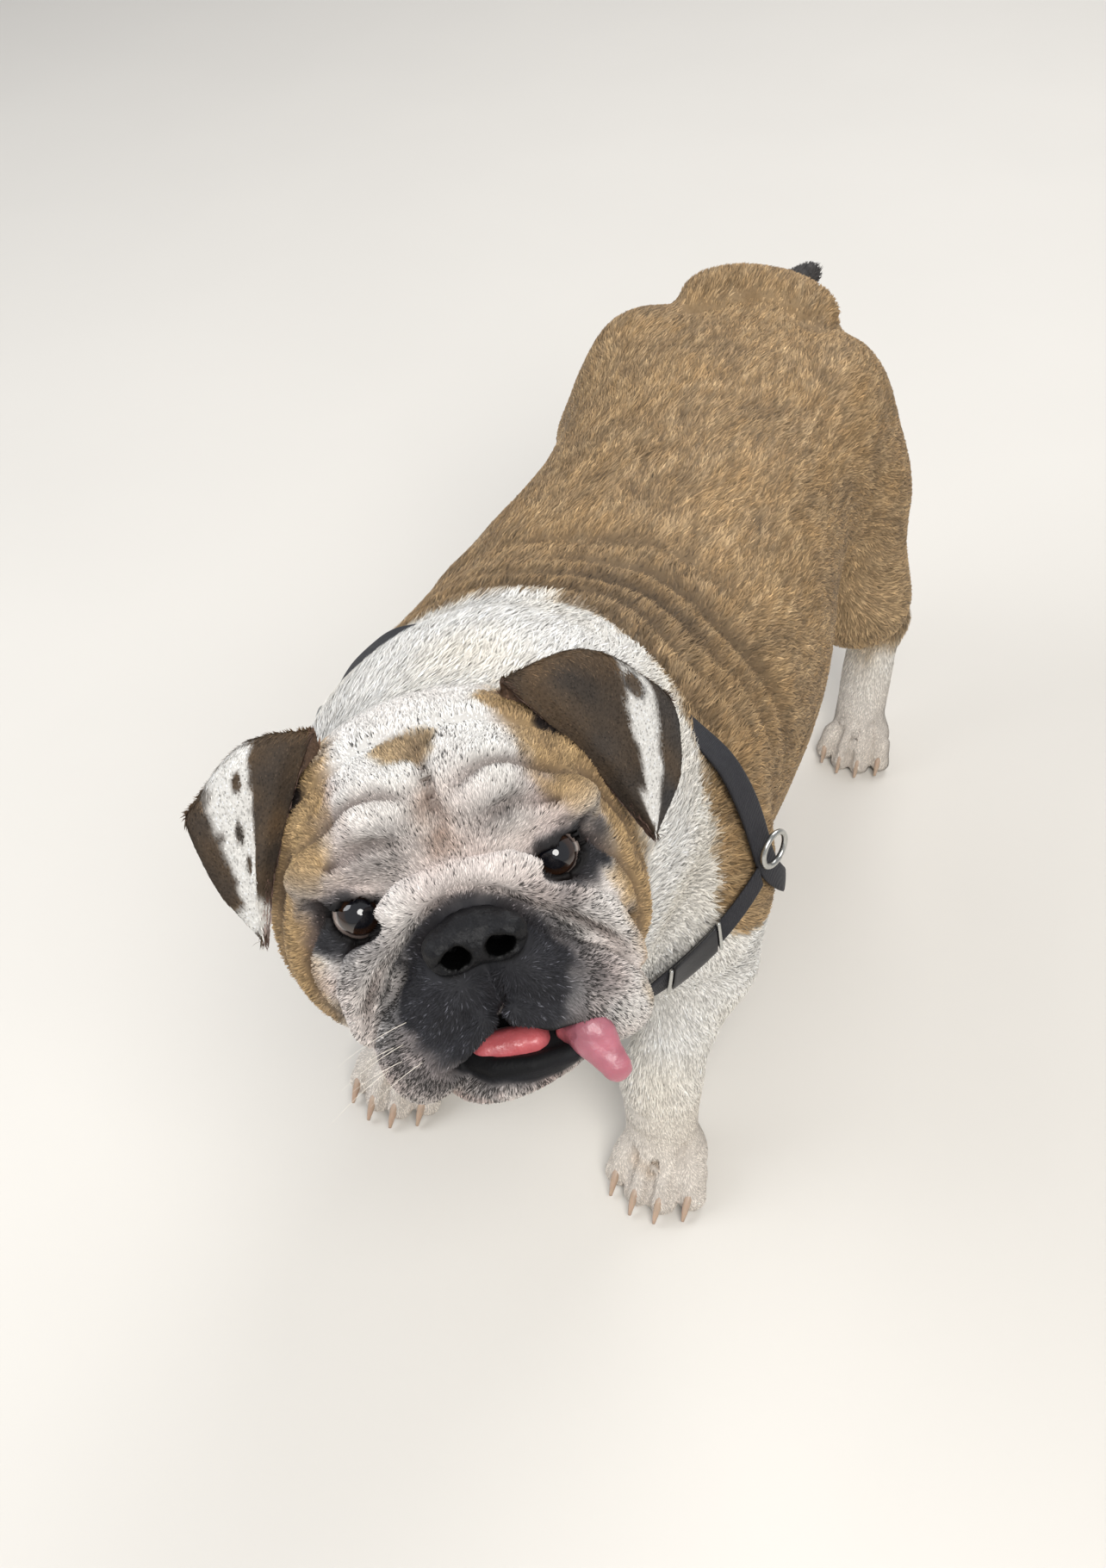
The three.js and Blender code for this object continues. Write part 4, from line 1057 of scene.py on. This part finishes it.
def hair_size(p):
    """Length, width, lift and number to the square millimetre at each place."""
    l = head_in(p)
    z, y = p[:, 2], p[:, 1]
    head = step(-112, -70, l[:, 1]) * (np.linalg.norm(l, axis=1) < 180)
    front = step(-50, -5, l[:, 1]) * head
    foot = 1 - step(45, 110, z)
    neck = np.exp(-((y + 190) / 70) ** 2) * step(230, 320, z)
    long = 8.6 + 5.0 * neck
    long = mix(mix(long, 5.6, head), 3.4, front)
    long = mix(long, 3.0, foot)
    wide = mix(mix(0.95 + 0 * z, 0.75, head), 0.45, front)
    wide = mix(wide, 0.6, foot)
    many = mix(mix(0.30 + 0.16 * neck, 0.66, head), 1.5, front)
    many = mix(many, 0.75, foot)
    crease = head * crease_amount(l)
    long = long * (1 - 0.55 * crease)
    many = many * (1 - 0.6 * crease)
    lift = 0.11 + 0.10 * neck + 0.09 * front
    return long, wide, lift, many


def bare(p):
    """Where no hair grows: nose, lips, mouth, lids, soles."""
    l = head_in(p)
    none = nose_pad(l) < 2.5
    none |= egg(l, [7, 20, -67], [33, 28, 15]) < 0.5
    none |= line_gap(l, LIP_ROLL) < 6.6
    none |= eye_gap(l) < EYE_RADIUS + 3.4
    return none | (p[:, 2] < 3)


def scatter(points, faces, shares, how_many):
    """Evenly spread roots: a face for each, and weights of its three corners."""
    n, area = face_normals(points, faces)
    weight = np.cumsum(area * shares)
    total = weight[-1]
    count = int(total * how_many)
    pick = np.searchsorted(weight, (np.arange(count) + rng.random(count)) / count * total)
    pick = np.minimum(pick, len(faces) - 1)
    r1 = np.sqrt(rng.random(count))
    r2 = rng.random(count)
    return pick, np.stack([1 - r1, r1 * (1 - r2), r1 * r2], 1)


ROOT_DEPTH = 0.25
TUFT_FACES = ([0, 1, 3], [0, 3, 2], [2, 3, 4])
# Painted shade at each tuft's root, deep in the coat, and painted light at its tip.
TUFT_SHADE = np.array([0.80, 0.80, 1.0, 1.0, 1.10])


def blades(root, n, along, long, wide, lift, colours):
    """Five corners and three triangles for each tuft, darker at the root with painted shade and lighter at
    the tip with painted light.
    """
    k = len(root)
    side = unit(np.cross(along, n))
    rise = long[:, None] * lift[:, None]
    bend_at = root + along * (long * 0.5)[:, None] + n * (rise * 0.62)
    tip = root + along * long[:, None] + n * (rise * 0.72)
    tip += side * (long * rng.normal(0, 0.07, k))[:, None]
    w = side * (wide / 2)[:, None]
    base = root - n * ROOT_DEPTH
    points = np.stack([base - w * 0.8, base + w * 0.8, bend_at - w, bend_at + w, tip], 1)
    first = np.arange(k)[:, None] * 5
    faces = np.concatenate([first + corners for corners in TUFT_FACES], 1).reshape(-1, 3)
    col = np.clip(colours[:, None, :] * TUFT_SHADE[None, :, None], 0, 1)
    return points.reshape(-1, 3), faces, col.reshape(-1, 3)


def add_lean(ob, n):
    """The way each tuft catches the light: mostly as the skin under it does."""
    v = unit(n + 0.22 * rng.normal(0, 1, n.shape))
    layer = ob.data.attributes.new("lean", "FLOAT_VECTOR", "POINT")
    layer.data.foreach_set("vector", np.repeat(v, 5, axis=0).astype(np.float32).ravel())


BAKE_EDGE = 0.004
BAKE_PATCH = np.array([[-0.0013, -0.0015], [0.0013, -0.0015], [-0.0015, 0.0], [0.0015, 0.0], [0.0, 0.0015]])


def add_bake_map(ob, unwrap, faces):
    """A small patch for each tuft, at its root's place on an unwrap of the skin's shape."""
    lo, hi = unwrap.min(0), unwrap.max(0)
    centre = BAKE_EDGE + (unwrap - lo) / np.maximum(hi - lo, 1e-9) * (1 - 2 * BAKE_EDGE)
    uv = (centre[:, None, :] + BAKE_PATCH[None]).reshape(-1, 2)
    layer = ob.data.uv_layers.new(name="OFBake")
    layer.data.foreach_set("uv", uv[faces].astype(np.float32).ravel())


# The coat is parted into pieces, by the numbers that region_of gives
TRUNK = {10: "coat_chest_right", 11: "coat_chest_left", 20: "coat_rear_right", 21: "coat_rear_left"}
LEGS = {30: "coat_foreleg_right", 31: "coat_foreleg_left", 40: "coat_hindleg_right",
        41: "coat_hindleg_left"}
RUFF = {50: "coat_neck_right", 51: "coat_neck_left"}
HEAD_PARTS = {60: "coat_head_right", 61: "coat_face_right", 70: "coat_head_left", 71: "coat_face_left"}
WHITE_PIECES = (30, 31, 50, 51)
MOST_TUFTS = 65500
AMOUNT = 1.0


def region_of(p):
    l = head_in(p)
    x, y, z = p.T
    r = np.where(y < -60, 1, 2) * 10 + np.where(x > -4, 1, 0)
    r = np.where(z < 150, np.where(y < 40, 30, 40) + np.where(x > 0, 1, 0), r)
    neck = (y < -150) & (z > 200)
    r = np.where(neck, np.where((p - NECK_CENTRE) @ np.array([1.0, 0.3, 0]) > 0, 51, 50), r)
    head = (l[:, 1] > -98) & (np.linalg.norm(l, axis=1) < 175)
    return np.where(head, np.where(l[:, 1] > -22, 61, 60) + np.where(l[:, 0] > 3, 10, 0), r)


def unwrap(code, r):
    """Places on the skin laid flat: rolled round the trunk, a leg, the neck or the head."""
    if code in TRUNK:
        return np.stack([r[:, 1], np.arctan2(r[:, 0], r[:, 2] - 280)], 1)
    if code in LEGS:
        q = r - r.mean(0)
        return np.stack([r[:, 2], np.arctan2(q[:, 0], q[:, 1])], 1)
    if code in RUFF:
        q = r - NECK_CENTRE
        return np.stack([q @ NECK_AXIS, np.arctan2(q[:, 0], q[:, 2])], 1)
    q = head_in(r) + [0, 50, 10]
    tall = q[:, 2] / np.maximum(np.linalg.norm(q, axis=1), 1)
    return np.stack([np.arctan2(q[:, 0], q[:, 1]), tall], 1)


def plant():
    """Roots of the coat with the skin's way out at each."""
    normals = vertex_normals(SKIN_P, SKIN_F)
    centre = middle_points(SKIN_P, SKIN_F)
    many = np.where(bare(centre), 0, hair_size(centre)[3])
    pick, weights = scatter(SKIN_P, SKIN_F, many, AMOUNT)
    root = (SKIN_P[SKIN_F[pick]] * weights[..., None]).sum(1)
    normal = unit((normals[SKIN_F[pick]] * weights[..., None]).sum(1))
    keep = ~bare(root)
    return root[keep], normal[keep]


def ticked(colour, root):
    """Salt and pepper: single dark hairs on the pale face, most on the lips, pale ones on the black."""
    l = head_in(root)
    on_face = step(-70, -30, l[:, 1]) * (np.linalg.norm(l, axis=1) < 150)
    flew = step(-8, 8, l[:, 1]) * (1 - step(-24, -6, l[:, 2]))
    lumps = np.clip(noise(l, 13, 35) + 0.1, 0, 1)
    chance = on_face * (0.04 + 0.12 * lumps + 0.10 * flew + 0.55 * haze_amount(l))
    greyish = colour[:, 2] > 0.72 * colour[:, 0]
    pepper = (rng.random(len(root)) < chance) & (colour.mean(1) > 0.45) & greyish
    colour[pepper] = colour[pepper] * 0.42
    pale = (rng.random(len(root)) < 0.05 * on_face) & (colour.mean(1) < 0.3)
    colour[pale] = colour[pale] * 1.7 + 0.04
    lock = noise(root * [1, 0.4, 1], 4.0, 19)
    vary = np.where(colour.mean(1) > 0.75, 0.5, 1.0)
    change = vary * (0.10 * rng.normal(0, 1, len(root)) + 0.12 * lock)
    return np.clip(colour * (1 + change)[:, None], 0.01, 1)


def make_coat():
    root, normal = plant()
    along = lie_of(root, normal)
    turn = (rng.normal(0, 0.16, len(root)) + 0.35 * noise(root, 30, 17))[:, None]
    along = unit(along * np.cos(turn) + np.cross(normal, along) * np.sin(turn))
    long, wide, lift, _ = hair_size(root)
    long = long * rng.uniform(0.75, 1.2, len(root))
    wide = wide * rng.uniform(0.75, 1.2, len(root))
    lift = lift * rng.uniform(0.5, 1.3, len(root))
    colour = ticked(markings(root + along * 1.5), root)
    region = region_of(root)
    mat = hairy("coat_hair", lean=True)
    for code, name in {**TRUNK, **LEGS, **RUFF, **HEAD_PARTS}.items():
        mine = np.flatnonzero(region == code)
        if len(mine) > MOST_TUFTS:
            mine = rng.permutation(mine)[:MOST_TUFTS]
        own = [a[mine] for a in (root, normal, along, long, wide, lift, colour)]
        points, faces, colours = blades(*own)
        points[:, 2] = np.maximum(points[:, 2], 0.15)
        ob = make_object(name, points, faces, colours, smooth=False)
        add_bake_map(ob, unwrap(code, own[0]), faces)
        add_lean(ob, own[1])
        body_slot = "coat_white" if code in WHITE_PIECES else "coat_fawn"
        piece(ob, mat, "face" if code in HEAD_PARTS else body_slot)


def make_ear_coat():
    mat = hairy("ear_hair")
    for side in (-1, 1):
        skin_p, skin_f, skin_uv, skin_back = EAR_MESH[side]
        n = face_normals(skin_p, skin_f)[0]
        pick, weights = scatter(skin_p, skin_f, np.ones(len(skin_f)), 0.75 * AMOUNT)
        root = (skin_p[skin_f[pick]] * weights[..., None]).sum(1)
        normal = unit(n[pick])
        uv = (skin_uv[skin_f[pick]] * weights[..., None]).sum(1)
        back = skin_back[skin_f[pick]].max(1)
        down = ear_frame(side, uv[:, 0], uv[:, 1])[1] @ HEAD
        down = unit(down - normal * (down * normal).sum(1, keepdims=True))
        k = len(root)
        colour = ear_colours(side, uv, back, root) * (1 + 0.12 * rng.normal(0, 1, k))[:, None]
        long, wide, lift = rng.uniform(4, 6.5, k), rng.uniform(0.5, 0.9, k), rng.uniform(0.06, 0.20, k)
        points, faces, colours = blades(root, normal, down, long, wide, lift, np.clip(colour, 0.01, 1))
        name = "coat_ear_left" if side > 0 else "coat_ear_right"
        ob = make_object(name, points, faces, colours, smooth=False)
        add_bake_map(ob, np.stack([uv[:, 0] * 0.48 + back * 0.52, uv[:, 1]], 1), faces)
        piece(ob, mat, "ear")


make_coat()
make_ear_coat()


# Eyes: a smooth ball whose iris and pupil are set by the angle from the gaze
def ball(centre, radius, across, up, ahead, nu=64, nv=48):
    t, s = np.meshgrid(np.linspace(0, np.pi, nv + 1), np.arange(nu) / nu * 2 * np.pi, indexing="ij")
    cornea = 1 + 0.045 * np.exp(-(t / 0.42) ** 2)
    d = (np.cos(t) * cornea)[..., None] * ahead + (np.sin(t) * np.cos(s) * cornea)[..., None] * across
    d = d + (np.sin(t) * np.sin(s) * cornea)[..., None] * up
    pts = (centre + radius * d).reshape(-1, 3)
    g = np.arange((nv + 1) * nu).reshape(nv + 1, nu)
    a, b = g[:-1].ravel(), np.roll(g, -1, 1)[:-1].ravel()
    c, e = np.roll(g, -1, 1)[1:].ravel(), g[1:].ravel()
    faces = np.concatenate([np.stack([a, e, c], 1), np.stack([a, c, b], 1)])
    area = face_normals(pts, faces)[1]
    return pts, faces[area > 1e-6], t.ravel()


PUPIL = (0.004, 0.004, 0.006, 1)
EYE_WHITE = (0.55, 0.45, 0.40, 1)
EYE_RINGS = ((0.34, PUPIL), (0.38, (0.016, 0.008, 0.005, 1)), (0.52, (0.030, 0.013, 0.007, 1)),
             (0.58, (0.006, 0.004, 0.004, 1)), (0.66, (0.22, 0.17, 0.15, 1)))
FULL_ANGLE = 1.6


def eye_shader():
    s = Shader("eye_wet")
    ramp = s.node("ShaderNodeValToRGB")
    rings = ramp.color_ramp.elements
    rings[0].position, rings[0].color = 0.0, PUPIL
    rings[1].position, rings[1].color = 1.0, EYE_WHITE
    for at, colour in EYE_RINGS:
        rings.new(at).color = colour
    s.link(s.layer("angle", "Fac"), ramp.inputs["Fac"])
    s.shaded(ramp.outputs["Color"], s.spread(s.grain(1400, 3), 0.6, 1.4))
    s.rough(s.spread(s.grain(300), 0.03, 0.07))
    s.bsdf.inputs["Coat Weight"].default_value = 1.0
    s.bsdf.inputs["Coat Roughness"].default_value = 0.02
    s.bump(s.grain(500), 0.02, 0.0001)
    return s.mat


def make_eyes():
    mat = eye_shader()
    for side, tag in ((1, "left"), (-1, "right")):
        middle = head_out([side * EYE_SPACING / 2, EYE_DEPTH, 0])
        ahead = unit(unit(CAMERA_AT - middle) * 0.75 + HF * 0.25)
        across = unit(np.cross(ahead, HU))
        points, faces, angle = ball(middle, EYE_RADIUS, across, np.cross(across, ahead), ahead)
        ob = make_object("eye_ball_" + tag, points, faces, None, {"angle": angle / FULL_ANGLE})
        piece(ob, mat, "eye", "eye_" + tag)


make_eyes()


# Nose leather and tongue
NOSTRIL = ([10, 46, -16.5], [6.4, 25, 5.4])


def nose_field(p):
    l = head_in(p)
    q = folded(l)
    d = join(nose_pad(l), egg(q, [14.5, 38, -11], [7.5, 8, 6.5]), 5)
    d = carve(d, egg(q, *NOSTRIL), 3.0)
    d = carve(d, limb(q, [11, 45, -19], [20.5, 38, -20.5], 3.4, 2.2), 2.0)
    d = d + 2.2 * np.exp(-(line_gap(q, [(0, 46, -8), (0, 46, -30)]) / 1.7) ** 2)
    return d - 0.45 * noise(l, 1.9, 23) - 0.3 * noise(l, 5.0, 24) + 0.1


def nose_colours(p):
    """Black leather, with painted shade blacker inside the nostrils."""
    inside = 1 - step(0.3, 1.8, egg(folded(head_in(p)), *NOSTRIL))
    return blend(np.tile(tone(20, 20, 22), (len(p), 1)), tone(2, 2, 2), inside)


TONGUE_FLATNESS = 1.7


def tongue_field(p):
    l = head_in(p)
    inner = limb(l, [-8, 13, -70], [12, 16, -71], 8.5, 8.0)
    root = limb(l, [12, 6, -73], [28, 12, -73], 6, 5)
    flat = np.array([1, TONGUE_FLATNESS, 1])
    side_end = [37, 28, -72.5] * flat
    side = limb(l * flat, [27, 19, -70.5] * flat, side_end, 5, 9.0)
    tip = limb(l * flat, side_end, [43, 32, -88] * flat, 9.0, 6.8)
    d = join(np.minimum(join(inner, root, 3), side), tip, 6)
    furrow = line_gap(l, [(-6, 20, -63), (16, 24, -64), (36, 33, -72), (47, 38, -88)])
    d = d + 1.2 * np.exp(-(furrow / 1.8) ** 2)
    return np.maximum(d - 0.25 * noise(l, 2.4, 25), -(body_field(p) + 30)) + 0.1


def tongue_colours(p):
    """Redder inside the mouth, mauve outside, with painted shade dark toward the throat."""
    l = head_in(p)
    out = blend(np.tile(tone(190, 92, 96), (len(p), 1)), tone(166, 100, 112), step(20, 30, l[:, 0]))
    # Painted shade toward the throat, where the lip shades the tongue.
    out = blend(out, tone(70, 26, 32), 0.85 * (1 - step(12, 19, l[:, 1])))
    return np.clip(out * (1 + 0.08 * noise(l, 5, 27))[:, None], 0.01, 1)


def small_net(field, middle, margin, cell, reach):
    """A net round one place of the head."""
    at = head_out(middle)
    points, faces = surface_net(field, at - margin, at + margin, cell)
    return settle(points, field, 2, reach), faces


points, faces = small_net(nose_field, [0, 31, -12], 34, 1.15, 0.6)
nose = make_object("nose_leather", points, faces, nose_colours(points))
piece(nose, plain("nose_wet", None, (160, 0.5, 1.5), (0.36, 0.55), (900, 0.7, 0.0006),
                  Specular_IOR_Level=0.2), "nose", "nose")
points, faces = small_net(tongue_field, [20, 24, -78], 48, 1.5, 0.7)
tongue = make_object("tongue_wet", points, faces, tongue_colours(points))
piece(tongue, plain("tongue_pink", None, (70, 0.75, 1.2), (0.28, 0.45), (700, 0.5, 0.0006),
                    Coat_Weight=0.25, Subsurface_Weight=0.1), "tongue", "tongue")


# Round rods: claws, whiskers and rings
def rod(spots, radii, sides, closed=False, flat=1.0):
    spots = np.asarray(spots, float)
    k = len(spots)
    lean = np.array([0, 0, 1.0])
    rows = []
    for i in range(k):
        after = spots[(i + 1) % k] if closed else spots[min(i + 1, k - 1)]
        before = spots[i - 1] if closed else spots[max(i - 1, 0)]
        t = unit(after - before)
        if abs(lean @ t) > 0.9:
            lean = np.array([1.0, 0, 0])
        lean = unit(lean - t * (lean @ t))
        b = np.cross(t, lean)
        w = np.arange(sides) / sides * 2 * np.pi
        rows.append(spots[i] + radii[i] * (np.cos(w)[:, None] * lean + flat * np.sin(w)[:, None] * b))
    faces = []
    for i in range(k if closed else k - 1):
        here, there = i * sides, (i + 1) % k * sides
        for j in range(sides):
            j2 = (j + 1) % sides
            faces += [(here + j, here + j2, there + j2), (here + j, there + j2, there + j)]
    if not closed:
        last = (k - 1) * sides
        for j in range(1, sides - 1):
            faces += [(0, j + 1, j), (last, last + j, last + j + 1)]
    return np.concatenate(rows), np.array(faces)


def claw(side, place, width, i, stretch):
    """A hooked claw on one toe: out of the toe and down to the floor."""
    s = width / FORE_WIDTH
    start = -24 if i in (1, 2) else -15
    end = start - 16 * stretch
    guide = np.array([(0, start + 2, 17.5), (0, start - 9, 15.5), (0, end, 10.5), (0, end - 6, 3.6)])
    pad = np.concatenate([[2 * guide[0] - guide[1]], guide, [2 * guide[3] - guide[2]]])
    t = np.linspace(0, 3, 13)
    j = np.minimum(2, t.astype(int))
    spots = curve(pad[j], pad[j + 1], pad[j + 2], pad[j + 3], (t - j)[:, None])
    spots[:, 0] += (i - 1.5) * 17.8
    spots = (spots * s + [place[0], place[1], 0]) * [side, 1, 1]
    return rod(spots, np.interp(t, [0, 1, 2, 3], [4.2, 3.9, 3.0, 1.4]) * s, 12, flat=0.8)


made = []
for side in (1, -1):
    for place, width, stretch in ((FORE_PAW, FORE_WIDTH, 1.0), (HIND_PAW, HIND_WIDTH, 0.85)):
        made += [claw(side, place, width, i, stretch) for i in range(4)]
points, faces = gather(made)
points[:, 2] = np.maximum(points[:, 2], 0.2)
piece(make_object("claws", points, faces),
      plain("claw_horn", (178, 152, 132), (160, 0.75, 1.15), (0.3, 0.45), (800, 0.3, 0.0003),
            Subsurface_Weight=0.1), "coat_white")


def whisker(side):
    """A thin hair out of the lip that droops a little."""
    root = head_out([side * rng.uniform(26, 50), rng.uniform(14, 30), rng.uniform(-72, -44)])
    g = slope_of(skin_field, root[None])[0]
    root = root - g * skin_field(root[None])[0] / max(g @ g, 0.3)
    sweep = np.array([side * 0.7, -0.35, -0.35]) @ HEAD
    way = unit(unit(g) * 0.8 + sweep)
    size = rng.uniform(16, 34)
    t = np.linspace(0, 1, 7)[:, None]
    spots = root + way * size * t + np.array([0, 0, -1.0]) * size * 0.25 * t ** 2
    return rod(spots, 0.20 * (1 - 0.85 * t[:, 0]), 4)


points, faces = gather([whisker(side) for side in (-1, 1) for _ in range(6)])
piece(make_object("whiskers", points, faces),
      plain("whisker_white", (232, 224, 210), (200, 0.8, 1.1), (0.3, 0.5)), "face")

# Harness: bands that follow the coat, rings of wire and a slider
WEB_BLACK = (28.6, 28.6, 34)
BAND_WIDTH = 19.0
BAND_INNER = 2.4
BAND_OUTER = 4.6
GIRTH_BACK = -104.0
GIRTH_FRONT = -181.0
UNDER_RUFF = 9.0
RING_RADIUS = 11.0
RING_WIRE = 1.8
SLIDER_AT = 0.86


def reach(place_at, count, level):
    """Where rays that start inside the dog come to a level above its outline."""
    near = np.full(count, 30.0)
    far = np.full(count, 260.0)
    for _ in range(22):
        r = (near + far) / 2
        inside = body_field(place_at(r)) < level
        near = np.where(inside, r, near)
        far = np.where(inside, far, r)
    return place_at(near)


def girth(u, v, level):
    """Once round the chest by v, across the band by u; under the ruff it lies deeper."""
    angle = v * 2 * np.pi
    from_top = np.mod(v + 0.5, 1) - 0.5 - 0.022
    level = level - UNDER_RUFF * np.exp(-(from_top / 0.125) ** 8)

    def place_at(r):
        z = 285 + r * np.cos(angle)
        y = mix(GIRTH_BACK, GIRTH_FRONT, step(165, 290, z)) + (u - 0.5) * BAND_WIDTH
        return np.stack([4 + r * np.sin(angle), y, z], 1)
    return reach(place_at, len(v), level)


def breast(u, v, level):
    """From ring to ring across the breast."""
    angle = (v - 0.5) * 2 * 1.24

    def place_at(r):
        x = r * np.sin(angle)
        rise = np.minimum(1.05, np.abs(x / 146)) ** 2.3
        z = 190 + 86 * rise + (u - 0.5) * BAND_WIDTH
        return np.stack([x, -140 - r * np.cos(angle), z], 1)
    return reach(place_at, len(v), level)


def band(at, nu, nv, low=BAND_INNER, high=BAND_OUTER, v0=0.0, v1=1.0, spread=1.0):
    """A flat band with a stitched line in from each edge."""
    u, v = np.meshgrid(np.linspace(0, 1, nu + 1), np.linspace(v0, v1, nv + 1))
    u, v = u.ravel(), v.ravel()
    across = 0.5 + (u - 0.5) * spread
    from_edge = np.minimum(u, 1 - u)
    hem = 0.35 * np.exp(-((from_edge - 0.12) / 0.04) ** 2) + 0.7 * (from_edge < 0.02)
    outer, inner = at(across, v, high), at(across, v, low)
    lift = unit(outer - inner)
    p = np.concatenate([outer - lift * hem[:, None], inner])
    faces = sheet_faces(np.arange(len(u)).reshape(nv + 1, nu + 1))
    fold = np.cross(p[faces[0, 1]] - p[faces[0, 0]], p[faces[0, 2]] - p[faces[0, 0]])
    return p, faces[:, ::-1] if fold @ lift[0] < 0 else faces


def webbing():
    s = Shader("webbing_black")
    s.shaded(s.one_colour(WEB_BLACK), s.spread(s.grain(700, 2), 0.6, 1.7))
    s.rough(s.spread(s.grain(200), 0.6, 0.85))
    w = s.node("ShaderNodeTexWave", Scale=420.0, Distortion=1.2)
    s.link(s.place, w.inputs["Vector"])
    s.bump(w.outputs["Fac"], 0.5, 0.0005)
    return s.mat


def make_harness():
    web = webbing()
    metal = plain("plated_steel", (190, 190, 186), (300, 0.85, 1.1), (0.22, 0.36),
                  (500, 0.1, 0.0002), Metallic=1.0)
    nv = 420
    for tag, at, rows in (("girth", girth, nv), ("breast", breast, nv * 2 // 3)):
        strap = make_object("harness_" + tag, *band(at, 12, rows))
        piece(strap, web, "webbing", f"harness_{tag}_strap")
    for side, tag in ((1, "left"), (-1, "right")):
        v = 0.25 * side + (1 if side < 0 else 0) - 0.012 * side
        middle = girth(np.array([0.5]), np.array([v]), 10)[0]
        a = unit(np.cross(unit([side, -0.28, 0.1]), [0, 0, 1]))
        b = np.cross(unit([side, -0.28, 0.1]), a)
        w = np.arange(48) / 48 * 2 * np.pi
        around = middle + RING_RADIUS * (np.cos(w)[:, None] * a + np.sin(w)[:, None] * b)
        ring = make_object("ring_" + tag, *rod(around, np.full(48, RING_WIRE), 16, True))
        piece(ring, metal, "metal", "harness_ring_" + tag)
    plate = band(breast, 10, 24, 5.0, 7.6, SLIDER_AT - 0.034, SLIDER_AT + 0.034, 1.15)
    slider = make_object("slider_plate", *plate)
    black = plain("slider_black", (30, 30, 33), (200, 0.8, 1.2), (0.3, 0.45))
    piece(slider, black, "slider", "harness_slider")
    made = []
    for v in (SLIDER_AT - 0.040, SLIDER_AT + 0.040):
        u = np.linspace(-0.12, 1.12, 24)
        made.append(rod(breast(u, np.full(24, v), 6.6), np.full(24, 1.25), 12))
    piece(make_object("slider_rim", *gather(made)), metal, "metal")


make_harness()


# Stage: pale floor, soft light, camera at the photo's angle
def make_floor(n=60):
    x, y = np.meshgrid(np.linspace(-6, 6, n + 1), np.linspace(-6, 8, n + 1))
    points = np.stack([x.ravel(), y.ravel(), np.zeros(x.size)], 1)
    g = np.arange((n + 1) ** 2).reshape(n + 1, n + 1)
    a, b, c, d = g[:-1, :-1].ravel(), g[:-1, 1:].ravel(), g[1:, 1:].ravel(), g[1:, :-1].ravel()
    faces = np.concatenate([np.stack([a, b, c], 1), np.stack([a, c, d], 1)])
    floor = make_object("floor", points, faces, row=False)
    floor.data.materials.append(plain("floor_pale", (214, 210, 203), (3, 0.97, 1.03), (0.55, 0.7),
                                      (60, 0.08, 0.001)))


make_floor()


def lamp(name, at, target, size, power, colour=(1, 1, 1)):
    data = bpy.data.lights.new(name, "AREA")
    data.shape = "DISK"
    data.size = size
    data.energy = power
    data.color = colour
    ob = bpy.data.objects.new(name, data)
    ob.location = at
    ob.rotation_euler = (Vector(target) - Vector(at)).to_track_quat("-Z", "Y").to_euler()
    bpy.context.scene.collection.objects.link(ob)


lamp("key", (1.2, -1.4, 2.3), (0, -0.1, 0.25), 1.6, 62, (1, 0.98, 0.95))
lamp("fill", (-1.8, -0.8, 1.9), (0, -0.1, 0.25), 2.0, 34, (0.95, 0.97, 1))
lamp("back", (0.2, 2.0, 2.2), (0, 0.1, 0.3), 1.8, 36)
world = bpy.data.worlds.new("studio")
world.use_nodes = True
world.node_tree.nodes["Background"].inputs["Color"].default_value = (0.86, 0.88, 0.92, 1)
world.node_tree.nodes["Background"].inputs["Strength"].default_value = 0.45
bpy.context.scene.world = world

# The photo's camera: turned from straight ahead, tipped down, rolled; lengths in the photo's pixels.
AZIMUTH = math.radians(28)
PITCH = math.radians(45.4)
ROLL = math.radians(5.5)
PHOTO_FOCAL = 1858
PHOTO_TALL = 1821
SENSOR = 36


def photo_camera():
    level = math.cos(PITCH)
    ahead = np.array([-math.sin(AZIMUTH) * level, math.cos(AZIMUTH) * level, -math.sin(PITCH)])
    across = np.array([math.cos(AZIMUTH), math.sin(AZIMUTH), 0])
    below = np.cross(ahead, across)
    right = across * math.cos(ROLL) + below * math.sin(ROLL)
    down = below * math.cos(ROLL) - across * math.sin(ROLL)
    data = bpy.data.cameras.new("photo_camera")
    data.sensor_fit = "AUTO"
    data.sensor_width = SENSOR
    data.lens = PHOTO_FOCAL * SENSOR / PHOTO_TALL
    camera = bpy.data.objects.new("photo_camera", data)
    bpy.context.scene.collection.objects.link(camera)
    axes = np.stack([right, -down, -ahead, to_row(CAMERA_AT)], 1)
    camera.matrix_world = Matrix([*axes.tolist(), [0, 0, 0, 1]])
    return camera


bpy.context.scene.camera = photo_camera()
bpy.context.scene.view_settings.view_transform = "Standard"
